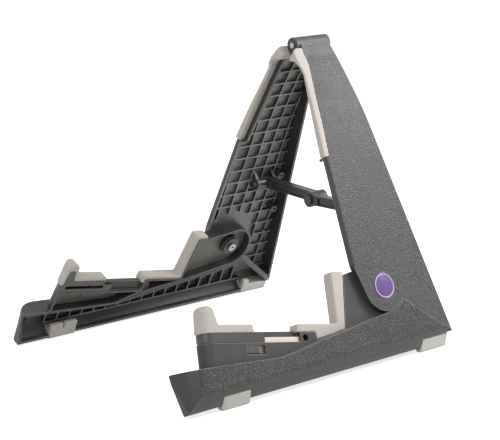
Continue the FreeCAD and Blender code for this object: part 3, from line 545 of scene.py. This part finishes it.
@dataclass(frozen=True)
class Facing:
    """Masks that tell the faces of a half apart, the same on both halves."""

    outward: bpy.types.NodeSocket
    inward: bpy.types.NodeSocket
    sunk: bpy.types.NodeSocket
    panel: bpy.types.NodeSocket
    grained: bpy.types.NodeSocket

    @classmethod
    def read(cls, made: Surface, layout: Layout, limits: FaceLimits) -> Facing:
        """Build the masks from the place on the half and the face's direction.

        Args:
            made: the material that reads them.
            layout: gives the tilt of the halves and the height of their hinge.
            limits: where the faces change.

        Returns:
            The masks of outward faces, of inward faces, of what lies deep between the ribs, where the
            floors are painted light, of the outer panels and of what lies below the smooth hinge knuckles.
        """
        cosine, sine = math.cos(layout.half_spread), math.sin(layout.half_spread)
        spot, normal = (made.add("ShaderNodeSeparateXYZ") for _ in range(2))
        made.join(made.spot, spot.inputs[0])
        made.join(made.normal, normal.inputs[0])
        side = made.sums("SIGN", spot.outputs["X"])
        across = made.times(made.times(normal.outputs["X"], side), cosine)
        looks = made.sums("ADD", across, made.times(normal.outputs["Z"], sine))
        reach = made.times(made.times(spot.outputs["X"], side), cosine)
        rise = made.sums("SUBTRACT", spot.outputs["Z"], layout.hinge_height)
        depth = made.sums("ADD", reach, made.times(rise, sine))
        outward = made.fade(looks, limits.outward_looks)
        high = made.fade(spot.outputs["Z"], limits.panel_heights)
        panel = made.sums("MAXIMUM", made.fade(depth, limits.panel_depths), high)
        return cls(outward, inward=made.fade(looks, limits.inward_looks, FALL),
                   sunk=made.fade(depth, limits.floor_depths), panel=made.times(outward, panel),
                   grained=made.fade(spot.outputs["Z"], limits.knuckle_heights, FALL))


@dataclass(frozen=True)
class ShellPlastic:
    """Black moulded plastic: grained outer panels and satin sides. The floors between the ribs are painted
    light, far paler than the plastic, and the rib walls are painted shade; the edges are lighter from wear
    and from a painted highlight.
    """

    name: str
    base: Colour
    high: Colour
    rim: Colour
    # Painted light: colour of the deep floors between the ribs, far paler than the black plastic.
    floor: Colour
    satin: Colour = (0.042, 0.041, 0.037)
    # Painted shade: the rib walls and other side faces, darker than the satin sides.
    wall: Colour = (0.026, 0.026, 0.0245)
    # Pale colour of handling marks and worn edges; along the edges it is also a painted highlight.
    worn: Colour = (0.40, 0.395, 0.38)
    cells: float = 800.0
    roughen: float = 0.7
    grain_depth: float = 0.0002
    speck_share: float = 0.12
    film_patches: float = 22.0
    film_share: float = 0.08
    wear_and_highlight_patches: float = 70.0
    rub_share: float = 0.85
    wear_and_highlight_radius: float = 0.0012
    edge_radius: float = 0.0007
    roughness: Span = (0.42, 0.56)
    grain_roughness: float = 0.06
    specular: float = 0.42

    def build(self, effects: Effects, layout: Layout) -> bpy.types.Material:
        """Make the material.

        Args:
            effects: the shared groups.
            layout: gives the tilt of the outer faces.

        Returns:
            The finished material.
        """
        made = Surface(self.name)
        facing = Facing.read(made, layout, FaceLimits())
        grain = made.effect(effects.grain, Place=made.spot, Cells=self.cells, Roughen=self.roughen).outputs
        film = made.handled(effects, self.film_patches)
        rub = made.effect(effects.rub, Place=made.spot, Rounded=made.soften(self.wear_and_highlight_radius),
                          Flat=made.flat_normal(), Patches=self.wear_and_highlight_patches).outputs
        colour = self._paint(made, facing, grain["Tone"])
        colour = made.blend(made.times(film["Film"], self.film_share), colour, self.worn)
        # Edges lighter in patches: partly wear, partly a painted highlight for the glint on the rounded
        # edge.
        colour = made.blend(made.times(rub["Mask"], self.rub_share), colour, self.worn)
        rough = made.fade(film["Film"], RISE, self.roughness)
        rough = made.sums("ADD", rough, made.times(facing.panel, self.grain_roughness))
        made.set(Base_Color=colour, Roughness=rough, Specular_IOR_Level=self.specular)
        pebbles = made.times(made.times(grain["Height"], facing.panel), facing.grained)
        height = made.sums("ADD", pebbles, made.times(film["Specks"], self.speck_share))
        made.relief(height, self.grain_depth, made.soften(self.edge_radius))
        return made.material

    def _paint(self, made: Surface, facing: Facing, tone: bpy.types.NodeSocket) -> bpy.types.NodeSocket:
        """Colour of each kind of face, before wear and the painted edge highlight: painted light on the
        floors between the ribs, painted shade on the walls.

        Args:
            made: the material.
            facing: masks of the kinds of face.
            tone: the grain's own light and dark, left out on the smooth knuckles.

        Returns:
            The colour.
        """
        # Painted shade on the walls, painted light on the deep floors between the ribs.
        colour = made.blend(facing.outward, self.wall, self.satin)
        colour = made.blend(facing.inward, colour, made.blend(facing.sunk, self.rim, self.floor))
        uneven = made.times(made.sums("SUBTRACT", tone, MIDDLE), facing.grained)
        pebbled = made.blend(made.sums("ADD", uneven, MIDDLE), self.base, self.high)
        return made.blend(facing.panel, colour, pebbled)


@dataclass(frozen=True)
class SoftRubber:
    """Warm grey moulded rubber with a fine matt skin."""

    name: str
    base: Colour = (0.525, 0.486, 0.447)
    deep: Colour = (0.43, 0.388, 0.346)
    soil: Colour = (0.33, 0.30, 0.275)
    film_patches: float = 45.0
    film_share: float = 0.35
    speck_share: float = 0.06
    roughness: Span = (0.56, 0.70)
    specular: float = 0.35
    skin_cells: float = 1400.0
    skin_roughen: float = 0.8
    skin_depth: float = 0.00006

    def build(self, effects: Effects) -> bpy.types.Material:
        """Make the material.

        Args:
            effects: the shared groups.

        Returns:
            The finished material.
        """
        made = Surface(self.name)
        film = made.handled(effects, self.film_patches)
        skin = made.effect(effects.grain, Place=made.spot, Cells=self.skin_cells, Roughen=self.skin_roughen)
        colour = made.blend(made.times(film["Film"], self.film_share), self.base, self.deep)
        colour = made.blend(made.times(film["Specks"], self.speck_share), colour, self.soil)
        made.set(Base_Color=colour, Roughness=made.fade(film["Film"], RISE, self.roughness),
                 Specular_IOR_Level=self.specular)
        made.relief(skin.outputs["Height"], self.skin_depth, made.flat_normal())
        return made.material


@dataclass(frozen=True)
class SmoothPlastic:
    """Plain moulded plastic with faint handling marks and softened edges."""

    name: str
    base: Colour
    marked: Colour
    film_patches: float = 60.0
    film_share: float = 0.4
    roughness: Span = (0.38, 0.54)
    specular: float = 0.45
    coat: float = 0.0
    speck_depth: float = 0.00002
    edge_radius: float = 0.0003

    def build(self, effects: Effects) -> bpy.types.Material:
        """Make the material.

        Args:
            effects: the shared groups.

        Returns:
            The finished material.
        """
        made = Surface(self.name)
        film = made.handled(effects, self.film_patches)
        colour = made.blend(made.times(film["Film"], self.film_share), self.base, self.marked)
        made.set(Base_Color=colour, Roughness=made.fade(film["Film"], RISE, self.roughness),
                 Specular_IOR_Level=self.specular, Coat_Weight=self.coat)
        made.relief(film["Specks"], self.speck_depth, made.soften(self.edge_radius))
        return made.material


@dataclass(frozen=True)
class ZincSteel:
    """Bright zinc-plated steel with dull patches and fine specks."""

    name: str = "zinc_steel"
    base: Colour = (0.44, 0.435, 0.43)
    dull: Colour = (0.26, 0.255, 0.25)
    film_patches: float = 180.0
    roughness: Span = (0.28, 0.48)
    speck_depth: float = 0.00001
    edge_radius: float = 0.0003

    def build(self, effects: Effects) -> bpy.types.Material:
        """Make the material.

        Args:
            effects: the shared groups.

        Returns:
            The finished material.
        """
        made = Surface(self.name)
        film = made.handled(effects, self.film_patches)
        made.set(Base_Color=made.blend(film["Film"], self.base, self.dull), Metallic=1.0,
                 Roughness=made.fade(film["Film"], RISE, self.roughness))
        made.relief(film["Specks"], self.speck_depth, made.soften(self.edge_radius))
        return made.material


@dataclass
class Finishes:
    """All the finishes of the stand, built once."""

    effects: Effects
    layout: Layout
    leg_shell: bpy.types.Material = field(init=False)
    arm_shell: bpy.types.Material = field(init=False)
    rubber: bpy.types.Material = field(init=False)
    sole: bpy.types.Material = field(init=False)
    pale: bpy.types.Material = field(init=False)
    inner: bpy.types.Material = field(init=False)
    slide: bpy.types.Material = field(init=False)
    button: bpy.types.Material = field(init=False)
    steel: bpy.types.Material = field(init=False)
    enamel: bpy.types.Material = field(init=False)
    ring: bpy.types.Material = field(init=False)

    def __post_init__(self) -> None:
        """Build each finish."""
        self._shells()
        self._soft_and_steel()
        self._smooth()

    def _shells(self) -> None:
        """Build the grained plastic of the legs and of the arms."""
        # The floor colours are painted light on the floors between the ribs, far paler than the plastic.
        leg = ShellPlastic("grained_leg_plastic", base=(0.018, 0.018, 0.018), high=(0.088, 0.0875, 0.086),
                           rim=(0.028, 0.028, 0.027), floor=(0.16, 0.158, 0.146), specular=0.55)
        arm = ShellPlastic("grained_arm_plastic", base=(0.020, 0.020, 0.0197), high=(0.098, 0.097, 0.093),
                           rim=(0.024, 0.024, 0.022), floor=(0.14, 0.138, 0.122))
        self.leg_shell = leg.build(self.effects, self.layout)
        self.arm_shell = arm.build(self.effects, self.layout)

    def _soft_and_steel(self) -> None:
        """Build the rubber of pads and feet, and the steel of pins and screws."""
        feet = SoftRubber("grey_rubber_feet", base=(0.52, 0.50, 0.47), deep=(0.40, 0.38, 0.35),
                          roughness=(0.52, 0.66))
        self.rubber = SoftRubber("grey_rubber_pads").build(self.effects)
        self.sole = feet.build(self.effects)
        self.steel = ZincSteel().build(self.effects)

    def _smooth(self) -> None:
        """Build the plain plastics and the badge's enamel."""
        pale = SmoothPlastic("pale_nylon", base=(0.82, 0.72, 0.63), marked=(0.66, 0.55, 0.46))
        inner = SmoothPlastic("smooth_black_plastic", base=(0.028, 0.028, 0.0265),
                              marked=(0.06, 0.059, 0.055), roughness=(0.33, 0.49))
        slide = SmoothPlastic("satin_grey_plastic", base=(0.054, 0.053, 0.048),
                              marked=(0.088, 0.086, 0.079), roughness=(0.30, 0.46), specular=0.55)
        button = SmoothPlastic("ribbed_grey_plastic", base=(0.13, 0.128, 0.121),
                               marked=(0.20, 0.195, 0.185), roughness=(0.37, 0.53))
        enamel = SmoothPlastic("purple_enamel", base=(0.11, 0.045, 0.22), marked=(0.16, 0.08, 0.28),
                               roughness=(0.15, 0.31), coat=0.6)
        ring = SmoothPlastic("pale_badge_ring", base=(0.62, 0.58, 0.68), marked=(0.5, 0.46, 0.58),
                             roughness=(0.21, 0.37), coat=0.3)
        self.pale = pale.build(self.effects)
        self.inner = inner.build(self.effects)
        self.slide = slide.build(self.effects)
        self.button = button.build(self.effects)
        self.enamel = enamel.build(self.effects)
        self.ring = ring.build(self.effects)


def link(mesh: bpy.types.Mesh, name: str, material: bpy.types.Material) -> bpy.types.Object:
    """Put a finished mesh in the scene.

    Args:
        mesh: the mesh, in place.
        name: the piece's name.
        material: its finish.

    Returns:
        The new object.
    """
    mesh.name = name
    mesh.materials.clear()
    mesh.materials.append(material)
    piece = bpy.data.objects.new(name, mesh)
    bpy.context.scene.collection.objects.link(piece)
    return piece


def settle(piece: bpy.types.Object) -> bpy.types.Mesh:
    """Plain mesh of an object with its modifiers applied; the object goes.

    Args:
        piece: an object with modifiers.

    Returns:
        The evaluated mesh.
    """
    bpy.context.view_layer.update()
    graph = bpy.context.evaluated_depsgraph_get()
    mesh = bpy.data.meshes.new_from_object(piece.evaluated_get(graph))
    bpy.data.objects.remove(piece)
    return mesh


def ease(value: float, span: Span) -> float:
    """Share that goes smoothly from 0 to 1.

    Args:
        value: where to read it.
        span: values that give 0 and 1.

    Returns:
        The share, from 0 to 1.
    """
    start, end = span
    share = min(max((value - start) / (end - start), 0.0), 1.0)
    return share * share * (3.0 - 2.0 * share)


@dataclass(frozen=True)
class PadArch:
    """Arch of the leg pads round the hinge: a raised shoulder, and a slim full strip below it."""

    layout: Layout
    lift: float = 0.0036
    lift_depths: Span = (0.002, 0.009)
    lift_drops: Span = (0.009, 0.032)
    fill: float = 0.0034
    fill_starts: Span = (0.006, 0.034)
    fill_ends: Span = (0.030, 0.220)
    narrow: float = 0.0042
    narrow_depths: Span = (0.006, 0.015)
    narrow_drops: Span = (0.012, 0.026)

    def swell(self, mesh: bpy.types.Mesh, half: Half) -> None:
        """Move the points of a leg pad's mesh.

        Args:
            mesh: the pad's mesh, in place.
            half: the half that it belongs to.
        """
        wall = self.layout.pad_wall
        upward, outward = self.layout.upward(half), self.layout.outward(half)
        for point in mesh.vertices:
            depth, back, drop = self.layout.spot(half, point.co)
            raised = ease(depth, self.lift_depths) * (1.0 - ease(drop, self.lift_drops))
            rear = wall - self.layout.pad_front - self.layout.pad_slope * drop
            ahead = ease(rear - back, (0.0, wall))
            filled = ahead * ease(drop, self.fill_starts) * (1.0 - ease(drop, self.fill_ends))
            slim = (1.0 - ease(depth, self.narrow_depths)) * ease(drop, self.narrow_drops)
            point.co += upward * (self.lift * raised) + outward * (self.narrow * slim)
            point.co.y -= self.fill * filled


@dataclass(frozen=True)
class SoftCover:
    """A rubber piece that takes the place of its plain solid, with softly rounded edges."""

    half: Half
    pad: Pads
    layout: Layout
    grid: float = 0.0007
    rounding: int = 10
    rounding_strength: float = 0.5
    merge_distance: float = 1e-6

    def build(self, frame: dict, finish: bpy.types.Material) -> bpy.types.Object:
        """Make the piece from its solid's own form.

        Args:
            frame: the loaded frame.
            finish: the rubber's material.

        Returns:
            The soft piece, riding on its body.
        """
        node = self.half.node(self.pad.solid)
        mesh = self._rounded(frame["nodes"][node].data)
        if self.pad is Pads.LEG:
            PadArch(self.layout).swell(mesh, self.half)
        mesh.polygons.foreach_set("use_smooth", [True] * len(mesh.polygons))
        piece = link(mesh, f"{node}_rubber", finish)
        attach(piece, self.half.node(self.pad.carrier))
        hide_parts(node)
        return piece

    def _rounded(self, source: bpy.types.Mesh) -> bpy.types.Mesh:
        """Copy of a solid's mesh on an even grid, with its edges rounded.

        Args:
            source: the solid's mesh.

        Returns:
            The rounded mesh.
        """
        work = bpy.data.objects.new("soft_work", self._merged(source))
        bpy.context.scene.collection.objects.link(work)
        remesh = work.modifiers.new("grid", "REMESH")
        remesh.mode = "VOXEL"
        remesh.voxel_size = self.grid
        smooth = work.modifiers.new("rounding", "SMOOTH")
        smooth.factor = self.rounding_strength
        smooth.iterations = self.rounding
        return settle(work)

    def _merged(self, source: bpy.types.Mesh) -> bpy.types.Mesh:
        """Copy of a solid's mesh with its loose triangles joined.

        Args:
            source: the solid's mesh.

        Returns:
            The joined mesh.
        """
        mesh = source.copy()
        shape = bmesh.new()
        shape.from_mesh(mesh)
        bmesh.ops.remove_doubles(shape, verts=shape.verts, dist=self.merge_distance)
        shape.to_mesh(mesh)
        shape.free()
        return mesh


def lathe(profile: list[Span], sides: int) -> bpy.types.Mesh:
    """Turned shape round the Z axis, closed flat behind and to a point in front.

    Args:
        profile: radius and height of each ring, from the back to the point in the middle.
        sides: number of faces round it.

    Returns:
        The mesh, round the origin.
    """
    shape = bmesh.new()
    turns = [2.0 * math.pi * side / sides for side in range(sides)]
    rows = [[shape.verts.new((radius * math.cos(turn), radius * math.sin(turn), height)) for turn in turns]
            for radius, height in profile[:-1]]
    tip = shape.verts.new((0.0, 0.0, profile[-1][1]))
    pairs = [(side, (side + 1) % sides) for side in range(sides)]
    for low, high in zip(rows, rows[1:]):
        for side, after in pairs:
            shape.faces.new((low[side], low[after], high[after], high[side]))
    for side, after in pairs:
        shape.faces.new((rows[-1][side], rows[-1][after], tip))
    shape.faces.new(list(reversed(rows[0])))
    bmesh.ops.recalc_face_normals(shape, faces=shape.faces)
    for face in shape.faces:
        face.smooth = True
    mesh = bpy.data.meshes.new("turned")
    shape.to_mesh(mesh)
    shape.free()
    return mesh


@dataclass(frozen=True)
class Badge:
    """Round enamel badge over the arm's pivot, with a raised pale ring.

    Heights count outwards from the leg's outer face. The bed, the rim and the bead are set as
    shares of how far the badge stands proud, or of the ring's width.
    """

    half: Half
    layout: Layout
    radius: float = 0.0118
    skirt: float = 0.0014
    proud: float = 0.0006
    chamfer: float = 0.0003
    rim_share: float = 0.6
    bed_share: float = 0.4
    dome: float = 0.0008
    dome_steps: int = 8
    ring_width: float = 0.0011
    bead_inset: float = 1.6
    bead_share: float = 0.42
    bead_height: float = 0.8
    sides: int = 96
    bead_sides: int = 12

    def build(self, finishes: Finishes) -> list[bpy.types.Object]:
        """Make the enamel disc and its ring.

        Args:
            finishes: the stand's finishes.

        Returns:
            The disc and the ring.
        """
        disc = link(self._disc(), self.half.node("badge_enamel"), finishes.enamel)
        ring = link(self._ring(finishes.ring), self.half.node("badge_ring"), finishes.ring)
        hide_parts(self.half.node("badge_cap"))
        for piece in (disc, ring):
            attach(piece, self.half.node("leg"))
        return [disc, ring]

    def _seat(self) -> Matrix:
        """Placement on the outer face: the badge's axis points outwards.

        Returns:
            The matrix that seats a shape made round the origin.
        """
        turn = self.layout.outward(self.half).to_track_quat("Z", "Y").to_matrix().to_4x4()
        return Matrix.Translation(self.layout.pivot(self.half, self.layout.outer_face)) @ turn

    def _disc(self) -> bpy.types.Mesh:
        """Shallow dome inside a small chamfer, closed at the back.

        Returns:
            The disc's mesh, in place.
        """
        inner = self.radius - self.ring_width
        bed = self.proud * self.bed_share
        profile = [(self.radius, -self.skirt), (self.radius, self.proud * self.rim_share),
                   (self.radius - self.chamfer, self.proud)]
        for step in range(self.dome_steps + 1):
            share = step / self.dome_steps
            profile.append((inner * (1.0 - share), bed + self.dome * math.sin(share * math.pi / 2.0)))
        mesh = lathe(profile, self.sides)
        mesh.transform(self._seat())
        return mesh

    def _ring(self, finish: bpy.types.Material) -> bpy.types.Mesh:
        """Round bead that follows the rim, swept by a node tree.

        Args:
            finish: the bead's material.

        Returns:
            The bead's mesh, in place.
        """
        work = bpy.data.objects.new("ring_work", bpy.data.meshes.new("ring_work"))
        bpy.context.scene.collection.objects.link(work)
        modifier = work.modifiers.new("bead", "NODES")
        modifier.node_group = bead_tree()
        values = {"Ring radius": self.radius - self.ring_width * self.bead_inset,
                  "Bead radius": self.ring_width * self.bead_share,
                  "Height": self.proud * self.bead_height,
                  "Ring sides": self.sides, "Bead sides": self.bead_sides, "Finish": finish}
        for socket in modifier.node_group.interface.items_tree:
            if socket.in_out == "INPUT" and socket.name in values:
                modifier[socket.identifier] = values[socket.name]
        mesh = settle(work)
        mesh.transform(self._seat())
        return mesh


def bead_tree() -> bpy.types.NodeTree:
    """Node tree that sweeps a round bead along a circle.

    Returns:
        The tree, built on the first call.
    """
    name = "Badge bead"
    if name in bpy.data.node_groups:
        return bpy.data.node_groups[name]
    group = bpy.data.node_groups.new(name, "GeometryNodeTree")
    inputs = {"Geometry": "NodeSocketGeometry", "Ring radius": "NodeSocketFloat",
              "Bead radius": "NodeSocketFloat", "Height": "NodeSocketFloat", "Ring sides": "NodeSocketInt",
              "Bead sides": "NodeSocketInt", "Finish": "NodeSocketMaterial"}
    for title, kind in inputs.items():
        group.interface.new_socket(title, in_out="INPUT", socket_type=kind)
    group.interface.new_socket("Geometry", in_out="OUTPUT", socket_type="NodeSocketGeometry")
    tree = Tree(group)
    given, result = tree.add("NodeGroupInput").outputs, tree.add("NodeGroupOutput").inputs
    path, section = (tree.add("GeometryNodeCurvePrimitiveCircle") for _ in range(2))
    for circle, part in ((path, "Ring"), (section, "Bead")):
        tree.join(given[f"{part} sides"], circle.inputs["Resolution"])
        tree.join(given[f"{part} radius"], circle.inputs["Radius"])
    sweep = tree.add("GeometryNodeCurveToMesh")
    tree.join(path.outputs["Curve"], sweep.inputs["Curve"])
    tree.join(section.outputs["Curve"], sweep.inputs["Profile Curve"])
    lift = tree.add("ShaderNodeCombineXYZ")
    tree.join(given["Height"], lift.inputs["Z"])
    move = tree.add("GeometryNodeTransform")
    tree.join(sweep.outputs["Mesh"], move.inputs["Geometry"])
    tree.join(lift.outputs["Vector"], move.inputs["Translation"])
    smooth = tree.add("GeometryNodeSetShadeSmooth")
    tree.join(move.outputs["Geometry"], smooth.inputs["Geometry"])
    realize = tree.add("GeometryNodeRealizeInstances")
    tree.join(smooth.outputs["Geometry"], realize.inputs["Geometry"])
    dress = tree.add("GeometryNodeSetMaterial")
    tree.join(realize.outputs["Geometry"], dress.inputs["Geometry"])
    tree.join(given["Finish"], dress.inputs["Material"])
    tree.join(dress.outputs["Geometry"], result["Geometry"])
    return group


@dataclass(frozen=True)
class Solids:
    """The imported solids, which get a finish whether they stay in view or are replaced."""

    frame: dict
    finishes: Finishes

    def dress(self) -> None:
        """Give every solid its finish; pins and screws, which aren't listed, are steel."""
        finishes = self.finishes
        chosen = {
            "leg": finishes.leg_shell,
            "arm": finishes.arm_shell,
            "hook_carriage": finishes.slide,
            "lock_button": finishes.button,
            "glide_rail": finishes.pale,
            "badge_cap": finishes.enamel,
        }
        dark_pieces = ("brace_link", "brace_bolt", "brace_nut", "pivot_washer")
        chosen.update(dict.fromkeys(dark_pieces, finishes.inner))
        chosen.update(dict.fromkeys(("leg_pad", "cradle_pad", "hook_pad"), finishes.rubber))
        chosen.update(dict.fromkeys(("front_foot", "rear_foot"), finishes.sole))
        for name, piece in self.frame["nodes"].items():
            kind = name.replace("right_", "").replace("left_", "")
            finish = chosen.get(kind, finishes.steel)
            piece.data.materials.clear()
            piece.data.materials.append(finish)
            LOG.info("finish of %s: %s", name, finish.name)


@dataclass(frozen=True)
class Lamp:
    """A soft square lamp, with its power in watts."""

    name: str
    at: Place
    size: float
    power: float

    def hang(self, target: Place) -> None:
        """Put the lamp in the scene.

        Args:
            target: the point that it shines at.
        """
        data = bpy.data.lights.new(self.name, "AREA")
        data.size = self.size
        data.energy = self.power
        lamp = bpy.data.objects.new(self.name, data)
        lamp.location = self.at
        lamp.rotation_euler = (Vector(target) - Vector(self.at)).to_track_quat("-Z", "Y").to_euler()
        bpy.context.scene.collection.objects.link(lamp)


@dataclass(frozen=True)
class Studio:
    """Pale floor, soft light and the camera, with its angles in degrees and its sensor in millimetres."""

    camera_at: Place = (1.06706, -0.88847, 0.45500)
    azimuth: float = 49.439
    elevation: float = 13.814
    focal_pixels: float = 1658.3
    image_width: float = 500.0
    sensor_width: float = 36.0
    lamps: tuple[Lamp, ...] = (Lamp("front", at=(0.9, -1.3, 1.7), size=1.3, power=15.0),
                               Lamp("rear_side", at=(0.34, 0.48, 0.53), size=0.28, power=3.6),
                               Lamp("left_fill", at=(-1.5, 0.4, 1.0), size=1.2, power=6.0))
    lamp_target: Place = (0.0, 0.0, 0.12)
    floor_size: float = 14.0
    floor_colour: Colour = (0.9, 0.9, 0.9)
    floor_glow: float = 0.6
    ambient: float = 0.47

    def build(self) -> None:
        """Set up floor, world, lamps and camera."""
        self._floor()
        self._world()
        for lamp in self.lamps:
            lamp.hang(self.lamp_target)
        self._camera()
        bpy.context.scene.view_settings.view_transform = "Standard"

    def _floor(self) -> None:
        """Wide pale floor that takes the shadow."""
        half = self.floor_size / 2.0
        mesh = bpy.data.meshes.new("floor")
        mesh.from_pydata([(-half, -half, 0.0), (half, -half, 0.0), (half, half, 0.0), (-half, half, 0.0)],
                         [], [(0, 1, 2, 3)])
        made = Surface("pale_floor")
        made.set(Base_Color=self.floor_colour, Roughness=1.0, Specular_IOR_Level=0.0, Emission_Color=WHITE,
                 Emission_Strength=made.times(self._seen(made), self.floor_glow))
        link(mesh, "floor", made.material)

    @staticmethod
    def _seen(tree: Tree) -> bpy.types.NodeSocket:
        """Mask of the rays that show the background: straight, mirrored or through glass.

        Args:
            tree: the node tree that reads it.

        Returns:
            1 for such a ray, 0 for one that only lights.
        """
        ray = tree.add("ShaderNodeLightPath")
        seen = tree.sums("MAXIMUM", ray.outputs["Is Camera Ray"], ray.outputs["Is Transmission Ray"])
        return tree.sums("MAXIMUM", seen, ray.outputs["Is Glossy Ray"])

    def _world(self) -> None:
        """Even white surroundings, dimmer as light than as a background."""
        world = bpy.data.worlds.new("studio")
        bpy.context.scene.world = world
        world.use_nodes = True
        tree = Tree(world.node_tree)
        world.node_tree.nodes.clear()
        node = tree.add("ShaderNodeMapRange")
        tree.join(self._seen(tree), node.inputs["Value"])
        node.inputs["To Min"].default_value = self.ambient
        node.inputs["To Max"].default_value = 1.0
        light = tree.add("ShaderNodeBackground")
        tree.join(node.outputs["Result"], light.inputs["Strength"])
        light.inputs["Color"].default_value = (*WHITE, 1.0)
        end = tree.add("ShaderNodeOutputWorld")
        tree.join(light.outputs[0], end.inputs["Surface"])

    def _camera(self) -> None:
        """Camera at the picture's viewing angle."""
        data = bpy.data.cameras.new("camera")
        data.sensor_width = self.sensor_width
        data.lens = self.focal_pixels / self.image_width * self.sensor_width
        camera = bpy.data.objects.new("camera", data)
        turn, tilt = math.radians(self.azimuth), math.radians(self.elevation)
        back = Vector((math.sin(turn) * math.cos(tilt), -math.cos(turn) * math.cos(tilt), math.sin(tilt)))
        camera.location = self.camera_at
        camera.rotation_euler = (-back).to_track_quat("-Z", "Y").to_euler()
        bpy.context.scene.collection.objects.link(camera)
        bpy.context.scene.camera = camera


def main() -> None:
    """Build the stand's looks in order."""
    logging.basicConfig(level=logging.INFO, format="%(name)s: %(message)s")
    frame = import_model()
    layout = Layout()
    finishes = Finishes(Effects.build(), layout)
    Solids(frame, finishes).dress()
    for half in Half:
        for pad in Pads:
            finish = finishes.rubber if pad.padded else finishes.sole
            piece = SoftCover(half, pad, layout).build(frame, finish)
            LOG.info("soft piece %s: %d faces", piece.name, len(piece.data.polygons))
        for piece in Badge(half, layout).build(finishes):
            LOG.info("badge piece %s", piece.name)
    Studio().build()


if __name__ == "__main__":
    main()
